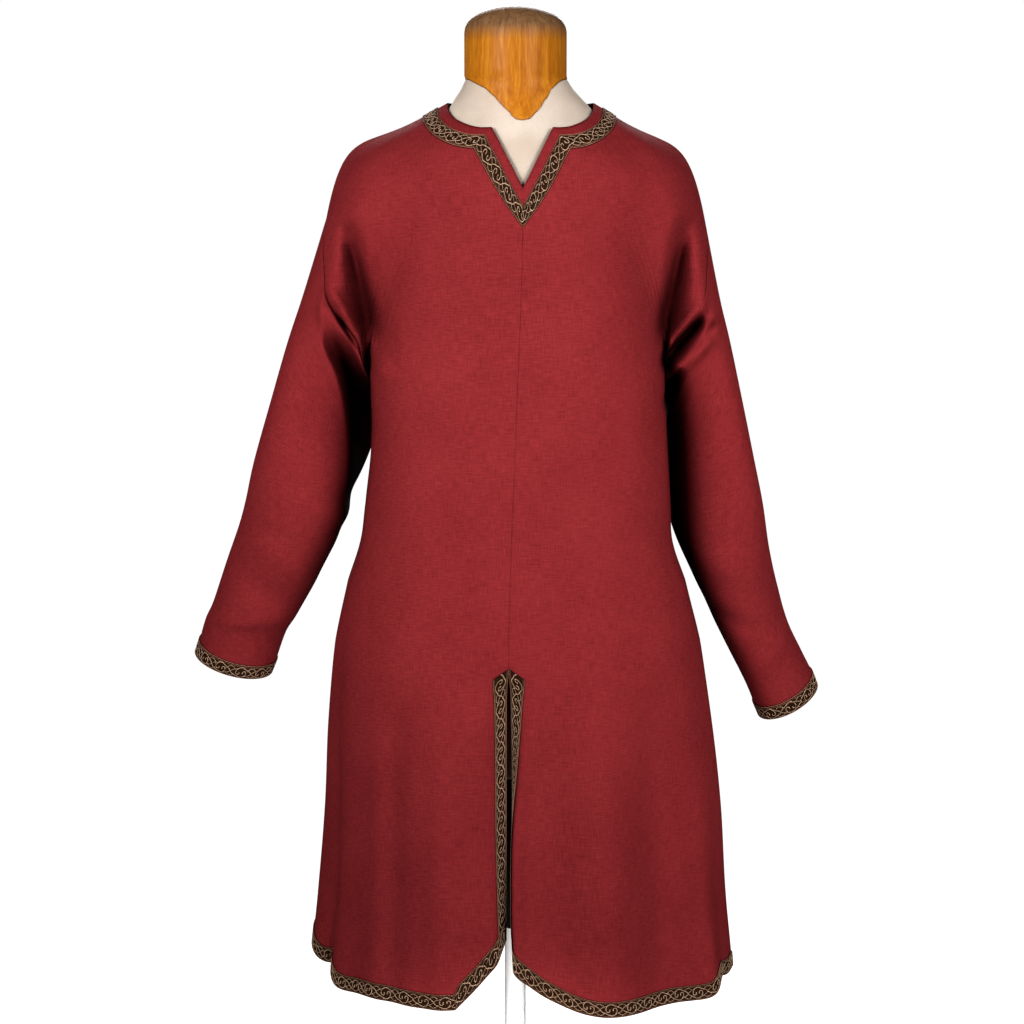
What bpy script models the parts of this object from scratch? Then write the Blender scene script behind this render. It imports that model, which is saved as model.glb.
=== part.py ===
"""A dark red linen tunic shirt on a limbless dress form, in metres, +Z up, front towards -Y.

The tunic is two front halves, a back, two sleeves and woven braid trims.
Each panel is a loft through rings and rays worked out from the tables below.
The form carries the tunic by the shoulders and stands on a pole and a round base.
"""

import math

import bpy
import numpy as np

COLLECTION_NAME = "TunicShirtOnDressForm"

# Cloth and braid
CLOTH_WALL = 0.0016
SEAM_GAP = 0.0004
BRAID_LIFT = 0.0003
BRAID_THICKNESS = 0.0009
BRAID_WIDTH = 0.0175

# Levels
ARMPIT_Z = 1.200
SLIT_TOP_Z = 0.879
SLIT_POINT = 0.013
HEM_Z = 0.4955
SIDE_SEAM_Y = 0.008

# Height of the hem on -X and on +X: at the middle of the front, at the side seam,
# at the middle of the back
HEM_LEVELS = {-1: (0.498, 0.500, 0.496), 1: (0.492, 0.478, 0.496)}

# side (-1 or +1), place round the ring, how far the hem lies above its level there, width
HEM_RISES = (
    (-1, 1.00, 0.017, 0.12),
    (-1, 0.66, -0.006, 0.13),
    (1, 0.62, -0.002, 0.10),
)

# Slit corners, where the hem rises towards the slit: rise, run and curve on -X and on +X
CORNERS = {-1: (0.071, 0.069, 1.0), 1: (0.070, 0.115, 2.2)}
HEM_HALF_WIDTH = {-1: 0.240, 1: 0.258}

# Slit edges that turn in: how far from the edge the turn starts, what share of that bends,
# steps of the bend, gap left between the two edges, reach of the shift that closes the rest
TURN_REACH = 0.034
TURN_BEND = 0.6
TURN_STEPS = 16
SLIT_CLEARANCE = 0.0030
CLOSING_REACH = 0.12

# Skirt folds grow as this power of the way down
FOLD_GROWTH = 1.3

# Lean of the centre front: half width over which it fades, depth and height where it starts
# and how far it takes to its full size
LEAN_HALF_WIDTH = 0.17
LEAN_FRONT_Y = 0.05
LEAN_FRONT_REACH = 0.06
LEAN_COLLAR_Z = 1.30
LEAN_COLLAR_REACH = 0.17

# Armhole folds lie on the front only: depth where they end, and the reach to their full size
FOLD_END_Y = 0.010
FOLD_FADE = 0.045

# How long the rays of the yoke stay on their first and last directions, as shares of their
# length, at the centre and what the shoulder adds
RAY_START = (1.0, 0.45)
RAY_END = (0.9, 1.15)

# Points nearer than this are one point
WELD_DISTANCE = 2e-5

# How many columns and rows the panels have
RING_COLUMNS = 14
ARMHOLE_COLUMNS = 10
CORNER_COLUMN = 12
YOKE_ROWS = 8
CHEST_ROWS = 7
SKIRT_ROWS = 9
SLEEVE_COLUMNS = 2 * ARMHOLE_COLUMNS
SLEEVE_ROWS = 15

# height, half width on -X, half width on +X, front depth, back depth, squareness
BODY_TABLE = (
    (1.200, 0.1690, 0.1740, 0.130, 0.124, 2.7),
    (1.120, 0.1687, 0.1780, 0.131, 0.122, 2.6),
    (1.050, 0.1763, 0.1823, 0.132, 0.122, 2.5),
    (1.005, 0.1826, 0.1850, 0.134, 0.125, 2.4),
    (0.957, 0.1980, 0.2010, 0.138, 0.130, 2.3),
    (0.885, 0.2130, 0.2190, 0.146, 0.138, 2.2),
    (0.788, 0.2210, 0.2330, 0.160, 0.150, 2.1),
    (0.691, 0.2240, 0.2430, 0.173, 0.160, 2.1),
    (0.592, 0.2305, 0.2485, 0.187, 0.170, 2.2),
    (0.480, 0.2390, 0.2580, 0.201, 0.179, 2.3),
)

# side (-1 or +1), place round the ring (0 front, 1 side seam, 2 back), depth at the hem,
# width round the ring, height where the fold starts
SKIRT_FOLDS = (
    (-1, 0.34, 0.007, 0.11, 0.95),
    (-1, 0.58, -0.006, 0.09, 0.90),
    (-1, 0.80, -0.017, 0.055, 0.93),
    (-1, 0.93, 0.008, 0.07, 0.95),
    (1, 0.30, 0.007, 0.11, 0.95),
    (1, 0.52, -0.005, 0.08, 0.90),
    (1, 0.66, 0.006, 0.07, 0.92),
    (1, 0.82, -0.011, 0.060, 0.90),
    (1, 0.95, 0.006, 0.07, 0.95),
    (-1, 1.22, -0.010, 0.08, 0.92),
    (-1, 1.48, 0.009, 0.10, 0.98),
    (-1, 1.74, -0.010, 0.09, 0.95),
    (1, 1.25, -0.009, 0.08, 0.90),
    (1, 1.52, 0.008, 0.11, 0.98),
    (1, 1.79, -0.009, 0.08, 0.95),
    (1, 2.00, 0.010, 0.12, 1.00),
    (-1, 2.00, 0.010, 0.12, 1.00),
)

# start x, start z, end x, end z, depth towards the front, width: folds at the armholes
ARM_FOLDS = (
    (0.2187, 1.282, 0.1710, 1.229, 0.009, 0.010),
    (0.2010, 1.374, 0.1823, 1.248, -0.006, 0.013),
    (0.2168, 1.268, 0.1754, 1.212, -0.008, 0.008),
    (0.2122, 1.246, 0.1780, 1.182, 0.005, 0.009),
    (0.1930, 1.199, 0.1850, 1.145, -0.005, 0.008),
    (-0.2064, 1.298, -0.1524, 1.208, 0.008, 0.010),
    (-0.1880, 1.362, -0.1580, 1.242, -0.006, 0.013),
    (-0.2076, 1.286, -0.1730, 1.174, 0.005, 0.009),
    (-0.1880, 1.242, -0.1700, 1.140, -0.007, 0.009),
)

# height and how far the centre front lies towards +X there
CENTRE_TABLE = ((1.50, 0.0080), (1.35, 0.0078), (1.19, 0.0020), (0.94, -0.0068), (0.88, -0.0078), (0.48, -0.0090))

# height, turn of the slit edge on -X, turn on +X, in degrees
SLIT_TURNS = ((0.879, 0.0, 0.0), (0.845, 35.0, 40.0), (0.70, 44.0, 82.0), (0.56, 55.0, 88.0), (0.48, 58.0, 80.0))

# front neckline from the bottom of the V to the shoulder seam:
# edge x, y, z, braid's inner edge x, y, z, braid's outer edge x, y, z
FRONT_NECK = (
    (0.0000, -0.100, 1.4153, 0.0000, -0.108, 1.3915, 0.0000, -0.113, 1.3715),
    (0.0089, -0.095, 1.4330, 0.0120, -0.102, 1.4130, 0.0160, -0.108, 1.3925),
    (0.0173, -0.089, 1.4497, 0.0228, -0.095, 1.4330, 0.0310, -0.102, 1.4160),
    (0.0258, -0.081, 1.4664, 0.0330, -0.087, 1.4530, 0.0430, -0.094, 1.4380),
    (0.0343, -0.070, 1.4833, 0.0432, -0.078, 1.4726, 0.0544, -0.087, 1.4588),
    (0.0490, -0.064, 1.4836, 0.0590, -0.073, 1.4731, 0.0700, -0.084, 1.4605),
    (0.0622, -0.054, 1.4872, 0.0740, -0.063, 1.4773, 0.0870, -0.074, 1.4668),
    (0.0753, -0.036, 1.4940, 0.0870, -0.043, 1.4853, 0.1010, -0.053, 1.4768),
    (0.0826, -0.016, 1.5030, 0.0950, -0.020, 1.4960, 0.1090, -0.027, 1.4885),
    (0.0843, 0.008, 1.5130, 0.0965, 0.008, 1.5060, 0.1115, 0.008, 1.4970),
)

# back neckline from the centre back to the shoulder seam, with the same columns
BACK_NECK = (
    (0.0000, 0.068, 1.5100, 0.0000, 0.073, 1.4990, 0.0000, 0.080, 1.4825),
    (0.0240, 0.067, 1.5104, 0.0270, 0.072, 1.4994, 0.0310, 0.079, 1.4830),
    (0.0460, 0.061, 1.5112, 0.0520, 0.066, 1.5004, 0.0600, 0.074, 1.4850),
    (0.0640, 0.049, 1.5122, 0.0730, 0.054, 1.5018, 0.0840, 0.061, 1.4880),
    (0.0770, 0.031, 1.5128, 0.0880, 0.034, 1.5040, 0.1020, 0.039, 1.4925),
    (0.0843, 0.008, 1.5130, 0.0965, 0.008, 1.5060, 0.1115, 0.008, 1.4970),
)

# armhole from the armpit up to its top: x, y, z, then the direction in which the body cloth
# arrives there, x, y, z. The armpit itself is the top of the side seam.
ARMHOLE_FRONT = (
    (0.1750, -0.030, 1.213, 0.10, 0.25, -0.96),
    (0.1840, -0.049, 1.243, 0.35, 0.30, -0.88),
    (0.2140, -0.053, 1.286, 0.50, 0.45, -0.74),
    (0.2190, -0.045, 1.318, 0.45, 0.55, -0.70),
    (0.2215, -0.022, 1.354, 0.30, 0.35, -0.88),
    (0.2195, 0.006, 1.3810, 0.20, 0.00, -0.98),
)
ARMHOLE_BACK = (
    (0.1755, 0.046, 1.213, 0.10, -0.25, -0.96),
    (0.1850, 0.064, 1.243, 0.35, -0.30, -0.88),
    (0.2120, 0.066, 1.286, 0.50, -0.45, -0.74),
    (0.2185, 0.056, 1.322, 0.45, -0.55, -0.70),
    (0.2215, 0.033, 1.356, 0.30, -0.35, -0.88),
    (0.2195, 0.006, 1.3810, 0.20, 0.00, -0.98),
)

# sleeve rings from the armhole to the cuff: outermost point x, y, z, innermost point x, y, z,
# half depth, lean in degrees
SLEEVE_LEFT = (
    (0.2195, 0.006, 1.3810, 0.1760, 0.006, 1.200, 0.056, 0.0),
    (0.2371, 0.000, 1.2923, 0.1790, 0.020, 1.182, 0.057, 2.0),
    (0.2498, -0.002, 1.2396, 0.1775, 0.040, 1.160, 0.057, 3.0),
    (0.2652, -0.004, 1.1688, 0.1765, 0.058, 1.120, 0.056, 4.0),
    (0.2795, 0.000, 1.1033, 0.1785, 0.062, 1.066, 0.056, 6.0),
    (0.2917, 0.010, 1.0487, 0.1880, 0.052, 1.015, 0.056, 7.0),
    (0.3016, 0.026, 0.9936, 0.2110, 0.042, 0.961, 0.055, 8.0),
    (0.3139, 0.041, 0.9440, 0.2339, 0.041, 0.912, 0.053, 9.0),
    (0.3275, 0.048, 0.9000, 0.2560, 0.048, 0.868, 0.049, 10.0),
    (0.3457, 0.054, 0.8621, 0.2765, 0.054, 0.828, 0.046, 11.0),
    (0.3587, 0.058, 0.8367, 0.2885, 0.058, 0.800, 0.045, 12.0),
    (0.3654, 0.061, 0.8200, 0.2954, 0.061, 0.784, 0.044, 12.0),
)
SLEEVE_RIGHT = (
    (-0.2195, 0.006, 1.3810, -0.1702, 0.006, 1.200, 0.056, 0.0),
    (-0.2460, 0.000, 1.2957, -0.1730, 0.020, 1.180, 0.059, 2.0),
    (-0.2649, -0.002, 1.2396, -0.1725, 0.042, 1.156, 0.061, 3.0),
    (-0.2862, 0.000, 1.1688, -0.1720, 0.055, 1.120, 0.062, 4.0),
    (-0.3077, 0.010, 1.0974, -0.1870, 0.035, 1.070, 0.063, 6.0),
    (-0.3194, 0.020, 1.0492, -0.1995, 0.028, 1.034, 0.063, 7.0),
    (-0.3276, 0.029, 1.0221, -0.2112, 0.029, 1.004, 0.062, 8.0),
    (-0.3447, 0.036, 0.9752, -0.2361, 0.036, 0.957, 0.057, 9.0),
    (-0.3621, 0.043, 0.9254, -0.2590, 0.043, 0.914, 0.053, 10.0),
    (-0.3725, 0.047, 0.9028, -0.2751, 0.047, 0.889, 0.050, 11.0),
    (-0.3800, 0.051, 0.8790, -0.2880, 0.051, 0.854, 0.048, 12.0),
    (-0.3855, 0.053, 0.8625, -0.2945, 0.053, 0.838, 0.047, 12.0),
)
ARMHOLE_FADE_OUTER = 0.24
ARMHOLE_FADE_INNER = 0.09

# dress form: height, middle x, half width, front depth, back depth, squareness
TORSO_TABLE = (
    (1.5445, 0.0005, 0.0572, 0.0520, 0.054, 2.00),
    (1.5270, 0.0020, 0.0650, 0.0535, 0.058, 2.00),
    (1.5160, 0.0035, 0.0740, 0.0555, 0.060, 2.00),
    (1.5075, 0.0050, 0.0805, 0.0580, 0.062, 1.80),
    (1.4990, 0.0060, 0.0880, 0.0620, 0.066, 1.50),
    (1.4900, 0.0055, 0.1045, 0.0660, 0.069, 1.50),
    (1.4760, 0.0045, 0.1345, 0.0720, 0.073, 1.55),
    (1.4630, 0.0040, 0.1590, 0.0770, 0.077, 1.60),
    (1.4520, 0.0035, 0.1760, 0.0810, 0.080, 1.70),
    (1.4400, 0.0030, 0.1850, 0.0850, 0.083, 1.80),
    (1.4250, 0.0030, 0.1830, 0.0900, 0.086, 1.95),
    (1.4000, 0.0030, 0.1730, 0.0970, 0.091, 2.10),
    (1.3600, 0.0030, 0.1580, 0.1030, 0.096, 2.20),
    (1.3000, 0.0030, 0.1480, 0.1090, 0.101, 2.30),
    (1.2200, 0.0030, 0.1440, 0.1110, 0.102, 2.40),
    (1.1300, 0.0025, 0.1380, 0.1040, 0.096, 2.30),
    (1.0400, 0.0015, 0.1300, 0.0930, 0.086, 2.20),
    (0.9600, 0.0005, 0.1400, 0.0960, 0.094, 2.20),
    (0.8600, 0.0000, 0.1580, 0.1040, 0.108, 2.20),
    (0.7400, 0.0000, 0.1500, 0.0980, 0.100, 2.20),
)
FORM_SEGMENTS = 36

# wooden neck cap: its own size, the tongue at the front and its shape, how it fits over the neck
CAP_HALF_WIDTH = 0.0588
CAP_FRONT = 0.0570
CAP_BACK = 0.0585
CAP_TOP_Z = 1.620
CAP_EDGE_Z = 1.5395
CAP_TONGUE_DROP = 0.0455
CAP_TONGUE_WIDTH = 0.0360
CAP_TONGUE_X = 0.005
CAP_TONGUE_POWER = 2.2
CAP_TONGUE_FACING = 3.0
CAP_CLEARANCE = 0.0006
CAP_SKIRT = 0.0036
CAP_EDGE_ROUND = 0.7
CAP_EDGE_RISE = 0.001
CAP_INNER_SHARES = (0.25, 0.5, 0.75, 1.0)
CAP_OUTER_SHARES = (0.04, 0.35, 0.7)
CAP_RIM_HEIGHTS = (0.004, 0.012)
CAP_DOME_HEIGHT = 0.029
CAP_DOME_POWER = 0.80
CAP_DOME_STEPS = 7

# colours, as linear red, green and blue, then roughness
FINISHES = {
    "linen": ((0.235, 0.018, 0.024), 0.90),
    "braid": ((0.055, 0.032, 0.017), 0.80),
    "form_cloth": ((0.72, 0.61, 0.52), 0.85),
    "varnished_wood": ((0.55, 0.22, 0.045), 0.28),
    "painted_steel": ((0.86, 0.86, 0.85), 0.35),
}

# stand
POLE_RADIUS = 0.0125
BASE_RADIUS = 0.190
BASE_HEIGHT = 0.018
BASE_ROUNDING = 0.005
STAND_GAP = 0.0003
POLE_SEGMENTS = 24
BASE_SEGMENTS = 56


def smooth_step(x):
    """Eases from 0 to 1 while x goes from 0 to 1."""
    x = np.clip(x, 0.0, 1.0)
    return x * x * (3.0 - 2.0 * x)


def through(table, at):
    """Reads smooth values off the rows of a table, where at counts rows from 0."""
    rows = np.asarray(table, float)
    last = len(rows) - 1
    at = np.clip(np.asarray(at, float), 0.0, last)
    low = np.minimum(at.astype(int), last - 1)
    t = (at - low)[..., None]
    before = rows[np.maximum(low - 1, 0)]
    start = rows[low]
    end = rows[low + 1]
    after = rows[np.minimum(low + 2, last)]
    start_slope = (end - before) / 2.0
    end_slope = (after - start) / 2.0
    return (
        (2 * t**3 - 3 * t**2 + 1) * start
        + (t**3 - 2 * t**2 + t) * start_slope
        + (3 * t**2 - 2 * t**3) * end
        + (t**3 - t**2) * end_slope
    )


def by_height(table, z):
    """Reads smooth values off a table whose first column is a falling height."""
    rows = np.asarray(table, float)
    counts = np.arange(len(rows))
    at = np.interp(-np.asarray(z, float), -rows[:, 0], counts)
    return through(rows[:, 1:], at)


def unit(vectors):
    """Scales vectors to length 1."""
    lengths = np.linalg.norm(vectors, axis=-1, keepdims=True)
    return vectors / np.maximum(lengths, 1e-12)


def body_ring(place, z, side):
    """Body surface at a place round one side (0 front, 1 side seam, 2 back) and a height."""
    z = np.asarray(z, float)
    place = np.asarray(place, float) + 0.0 * z
    values = by_height(BODY_TABLE, z)
    width = np.where(side < 0, values[..., 0], values[..., 1])
    depth = np.where(place <= 1.0, values[..., 2], values[..., 3])
    power = 2.0 / values[..., 4]
    angle = place * math.pi / 2
    across = np.abs(np.sin(angle)) ** power
    along = np.sign(np.cos(angle)) * np.abs(np.cos(angle)) ** power
    push = np.zeros_like(across)
    for fold_side, fold_place, fold_depth, fold_width, start_z in SKIRT_FOLDS:
        if fold_side != side:
            continue
        ramp = np.clip((start_z - z) / (start_z - HEM_Z), 0.0, 1.2) ** FOLD_GROWTH
        push += fold_depth * ramp * np.exp(-(((place - fold_place) / fold_width) ** 2))
    x = width * across + push * np.sin(angle)
    y = SIDE_SEAM_Y - (depth + SIDE_SEAM_Y) * along - push * np.cos(angle)
    return x, y


def turn_in(x, y, z, side):
    """Turns the slit edge inwards and closes the gap that this leaves at the centre."""
    turns = by_height(SLIT_TURNS, np.minimum(z, SLIT_TURNS[0][0]))
    most = np.radians(np.where(side < 0, turns[..., 0], turns[..., 1]))
    distance = np.abs(x)
    start = np.minimum(distance, TURN_REACH)
    step = (TURN_REACH - start) / TURN_STEPS
    whole_step = TURN_REACH / TURN_STEPS
    run = np.zeros_like(x)
    back = np.zeros_like(x)
    whole_run = np.zeros_like(x)
    for count in range(TURN_STEPS):
        middle = start + (count + 0.5) * step
        angle = most * smooth_step((TURN_REACH - middle) / (TURN_BEND * TURN_REACH))
        run += step * np.cos(angle)
        back += step * np.sin(angle)
        whole_middle = (count + 0.5) * whole_step
        whole_angle = most * smooth_step((TURN_REACH - whole_middle) / (TURN_BEND * TURN_REACH))
        whole_run += whole_step * np.cos(whole_angle)
    inside = distance < TURN_REACH
    turned_x = np.where(inside, TURN_REACH - run, distance)
    turned_y = np.where(inside, y + back, y)
    gap = SLIT_CLEARANCE * np.sin(most)
    closing = (TURN_REACH - whole_run - gap) * np.exp(-((distance / CLOSING_REACH) ** 2))
    return turned_x - closing, turned_y


def hem_height(x, place, side, front):
    """Height of the hem at a distance x from the middle and a place round the ring."""
    front_middle, seam, back_middle = HEM_LEVELS[side]
    middle = front_middle if front else back_middle
    level = middle + (seam - middle) * (x / HEM_HALF_WIDTH[side]) ** 2
    rise, run, curve = CORNERS[side]
    if front:
        level = level + rise * np.clip(1.0 - x / run, 0.0, 1.0) ** curve
    for rise_side, rise_place, height, width in HEM_RISES:
        if rise_side == side:
            level = level + height * np.exp(-(((place - rise_place) / width) ** 2))
    return level


def braid_height(x, place, side, front):
    """Height of the upper edge of the hem braid."""
    nudge = 0.002
    hem = hem_height(x, place, side, front)
    slope = (hem_height(x + nudge, place, side, front) - hem) / nudge
    return hem + BRAID_WIDTH * np.sqrt(1.0 + slope**2)


def arm_folds(points):
    """Pushes the front of the armhole region out and in along the folds of the table."""
    moved = points.copy()
    facing = smooth_step((FOLD_END_Y - points[..., 1]) / FOLD_FADE)
    flat = points[..., [0, 2]]
    for x0, z0, x1, z1, depth, width in ARM_FOLDS:
        start = np.array((x0, z0))
        along = np.array((x1, z1)) - start
        share = np.clip(((flat - start) @ along) / (along @ along), 0.0, 1.0)
        away = np.linalg.norm(flat - (start + share[..., None] * along), axis=-1)
        moved[..., 1] -= depth * facing * np.exp(-((away / width) ** 2))
    return moved


def finish_body(points, side):
    """Mirrors the points to their side, and leans the centre front to its line."""
    points = arm_folds(points * np.array((side, 1.0, 1.0)))
    shift = by_height(CENTRE_TABLE, points[..., 2])[..., 0]
    share = np.clip(1.0 - (points[..., 0] / LEAN_HALF_WIDTH) ** 2, 0.0, 1.0)
    front = smooth_step((LEAN_FRONT_Y - points[..., 1]) / LEAN_FRONT_REACH)
    collar = smooth_step((points[..., 2] - LEAN_COLLAR_Z) / LEAN_COLLAR_REACH)
    points[..., 0] += shift * share * (1.0 - (1.0 - front) * (1.0 - collar))
    return points


def ring_places(side, z):
    """Places of the columns round the front quarter of a ring, the first two a braid apart."""
    values = by_height(BODY_TABLE, z)
    half = np.where(side < 0, values[..., 0], values[..., 1])
    power = values[..., 4] / 2.0
    steps = np.clip((np.arange(RING_COLUMNS + 1) - 2) / (RING_COLUMNS - 2), 0.0, 1.0)
    near = np.clip(np.arange(RING_COLUMNS + 1) / 2.0, 0.0, 1.0)
    first = np.arcsin((near * BRAID_WIDTH / half) ** power) / (math.pi / 2)
    return first + (1.0 - first) * steps


def row_height(row, x, place, side, front):
    """Height of a row of the body, from 0 at the armpit to the hem."""
    slit_row = SLIT_TOP_Z - SLIT_POINT * np.minimum(x / BRAID_WIDTH, 1.0)
    braid_row = braid_height(x, place, side, front)
    if row <= CHEST_ROWS:
        return ARMPIT_Z + (slit_row - ARMPIT_Z) * row / CHEST_ROWS
    if row <= CHEST_ROWS + SKIRT_ROWS:
        return slit_row + (braid_row - slit_row) * (row - CHEST_ROWS) / SKIRT_ROWS
    return hem_height(x, place, side, front)


def skirt_grid(side, front):
    """Body below the armpit, rows from the armpit to the hem, columns from centre to side."""
    rows = []
    for row in range(CHEST_ROWS + SKIRT_ROWS + 2):
        z = np.full(RING_COLUMNS + 1, ARMPIT_Z - 0.04 * row)
        for _ in range(4):
            place = ring_places(side, z)
            place = place if front else 2.0 - place
            x, y = body_ring(place, z, side)
            z = row_height(row, x, place, side, front)
        x, y = body_ring(place, z, side)
        if front:
            x, y = turn_in(x, y, z, side)
        rows.append(np.stack((x, y, z), axis=-1))
    return finish_body(np.array(rows), side)


def neck_columns(front):
    """Neck edge and braid edges for each column from the centre to the shoulder seam."""
    columns = RING_COLUMNS + ARMHOLE_COLUMNS
    count = np.arange(columns + 1)
    if not front:
        return through(BACK_NECK, (len(BACK_NECK) - 1) * count / columns)
    slope = through(FRONT_NECK[:5], 4.0 * count / CORNER_COLUMN)
    collar = through(FRONT_NECK[4:], 5.0 * (count - CORNER_COLUMN) / (columns - CORNER_COLUMN))
    return np.where((count <= CORNER_COLUMN)[:, None], slope, collar)


def yoke_goals(side, front):
    """Where each column of the yoke ends, on the armpit ring or the armhole, and its direction."""
    z = np.full(RING_COLUMNS + 1, ARMPIT_Z)
    place = ring_places(side, z)
    x, y = body_ring(place if front else 2.0 - place, z, side)
    down = np.zeros_like(z)
    ring = np.stack((x, y, z, down, down, down - 1.0), axis=-1)
    armhole = np.vstack((ring[-1], ARMHOLE_FRONT if front else ARMHOLE_BACK))
    seam = through(armhole, np.linspace(0.0, len(armhole) - 1, ARMHOLE_COLUMNS + 1))
    return np.vstack((ring[:-1], seam))


def yoke_grid(side, front):
    """Body above the armpit, rows from the neck edge outwards, columns from centre to shoulder."""
    neck = neck_columns(front)
    edge, inner, outer = neck[:, :3], neck[:, 3:6], neck[:, 6:9]
    goals = yoke_goals(side, front)
    goal = goals[:, :3]
    leave = unit(outer - edge)
    arrive = unit(goals[:, 3:])
    length = np.linalg.norm(goal - outer, axis=1, keepdims=True)
    shoulder = np.linspace(0.0, 1.0, len(neck))[:, None] ** 3
    leave = leave * length * (RAY_START[0] + RAY_START[1] * shoulder)
    arrive = arrive * length * (RAY_END[0] + RAY_END[1] * shoulder)
    rows = [edge, inner, outer]
    for t in np.linspace(0.0, 1.0, YOKE_ROWS + 1)[1:]:
        rows.append(
            (2 * t**3 - 3 * t**2 + 1) * outer
            + (t**3 - 2 * t**2 + t) * leave
            + (3 * t**2 - 2 * t**3) * goal
            + (t**3 - t**2) * arrive
        )
    return finish_body(np.array(rows), side)


def armhole_loop(side):
    """Seam points all round one armhole: top, front, armpit, back."""
    front = yoke_grid(side, True)[-1][RING_COLUMNS:]
    back = yoke_grid(side, False)[-1][RING_COLUMNS:]
    return np.vstack((front[::-1], back[1:-1]))


def sleeve_grid(side):
    """Sleeve rows from the armhole to the cuff edge, columns round the arm."""
    table = SLEEVE_RIGHT if side < 0 else SLEEVE_LEFT
    last = len(table) - 1
    steps = list(np.linspace(0.0, 1.0, SLEEVE_ROWS + 1) ** 0.9 * (last - 1)) + [float(last)]
    angle = np.arange(SLEEVE_COLUMNS) * 2.0 * math.pi / SLEEVE_COLUMNS
    seam = armhole_loop(side)
    rows = []
    for step in steps:
        values = through(table, step)
        outer, inner, depth, lean = values[:3], values[3:6], values[6], math.radians(values[7])
        forward = depth * np.array((0.0, -math.cos(lean), -math.sin(lean)))
        ring = (outer + inner) / 2 + np.cos(angle)[:, None] * (outer - inner) / 2
        ring = ring + np.sin(angle)[:, None] * forward
        rows.append(ring)
    rows = np.array(rows)
    reach = ARMHOLE_FADE_INNER + (ARMHOLE_FADE_OUTER - ARMHOLE_FADE_INNER) * (1.0 + np.cos(angle)) / 2
    fade = 1.0 - smooth_step(np.array(steps)[:, None] / last / reach)
    folded = arm_folds(rows)
    folded[0] = rows[0]
    away = seam - folded[0]
    return folded + fade[..., None] * away


def grid_faces(rows, columns, first=0, loop=False):
    """Faces of a grid of points, four corners each."""
    faces = []
    for row in range(rows - 1):
        for column in range(columns if loop else columns - 1):
            beside = (column + 1) % columns
            a = first + row * columns + column
            b = first + row * columns + beside
            faces.append((a, b, b + columns, a + columns))
    return faces


def body_half(side, front):
    """Points and faces of half the front or back, and the shapes of its two grids."""
    yoke = yoke_grid(side, front)
    skirt = skirt_grid(side, front)
    points = np.vstack((yoke.reshape(-1, 3), skirt[1:].reshape(-1, 3)))
    columns = yoke.shape[1]
    faces = grid_faces(yoke.shape[0], columns)
    last_row = (yoke.shape[0] - 1) * columns
    first = yoke.shape[0] * columns
    for column in range(RING_COLUMNS):
        faces.append((last_row + column, last_row + column + 1, first + column + 1, first + column))
    faces += grid_faces(skirt.shape[0] - 1, RING_COLUMNS + 1, first)
    turned = (side > 0) != front
    faces = [face if turned else face[:1] + face[:0:-1] for face in faces]
    return points, faces


def merged_normals(patches):
    """Outward direction at every point, taken over all the patches that meet there."""
    all_points = np.vstack([points for points, _ in patches])
    keys = np.round(all_points / WELD_DISTANCE).astype(np.int64)
    _, index = np.unique(keys, axis=0, return_inverse=True)
    index = index.reshape(-1)
    total = np.zeros((index.max() + 1, 3))
    first = 0
    for points, faces in patches:
        corners = points[np.array(faces)]
        across = corners[:, 2] - corners[:, 0]
        down = corners[:, 3] - corners[:, 1]
        area = np.cross(across, down)
        for corner in range(4):
            np.add.at(total, index[first + np.array(faces)[:, corner]], area)
        first += len(points)
    normals = unit(total)[index]
    split = np.cumsum([len(points) for points, _ in patches])[:-1]
    return np.split(normals, split)


def make_object(name, vertices, faces, material):
    """Adds a smooth mesh object to the garment's collection."""
    mesh = bpy.data.meshes.new(name)
    mesh.from_pydata([tuple(vertex) for vertex in vertices], [], faces)
    mesh.polygons.foreach_set("use_smooth", [True] * len(mesh.polygons))
    mesh.materials.append(material)
    mesh.update()
    made = bpy.data.objects.new(name, mesh)
    bpy.data.collections[COLLECTION_NAME].objects.link(made)
    return made


def make_wall(name, points, normals, faces, low, high, material):
    """Turns an open surface into a closed wall between two offsets along its normals."""
    count = len(points)
    vertices = np.vstack((points + high * normals, points + low * normals))
    a, b, c, d = faces[0]
    outwards = np.cross(points[c] - points[a], points[d] - points[b]) @ normals[a] > 0
    faces = faces if outwards else [face[:1] + face[:0:-1] for face in faces]
    closed = list(faces)
    closed += [tuple(count + corner for corner in face[:1] + face[:0:-1]) for face in faces]
    edges = {}
    for face in faces:
        for start, end in zip(face, face[1:] + face[:1]):
            edges[(start, end)] = (end, start)
    for (start, end), opposite in edges.items():
        if opposite not in edges:
            closed.append((end, start, count + start, count + end))
    return make_object(name, vertices, closed, material)


def join_halves(left, right, left_normals, right_normals):
    """Joins two mirrored halves along the points that they share."""
    points = np.vstack((left[0], right[0]))
    normals = np.vstack((left_normals, right_normals))
    faces = left[1] + [tuple(corner + len(left[0]) for corner in face) for face in right[1]]
    keys = np.round(points / WELD_DISTANCE).astype(np.int64)
    _, first, index = np.unique(keys, axis=0, return_index=True, return_inverse=True)
    index = index.reshape(-1)
    return points[first], normals[first], [tuple(int(index[corner]) for corner in face) for face in faces]


def pull_back(points, moving, towards, distance):
    """Moves points a short way towards their neighbours, which opens a seam."""
    moved = points.copy()
    moved[moving] += distance * unit(points[towards] - points[moving])
    return moved


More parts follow.
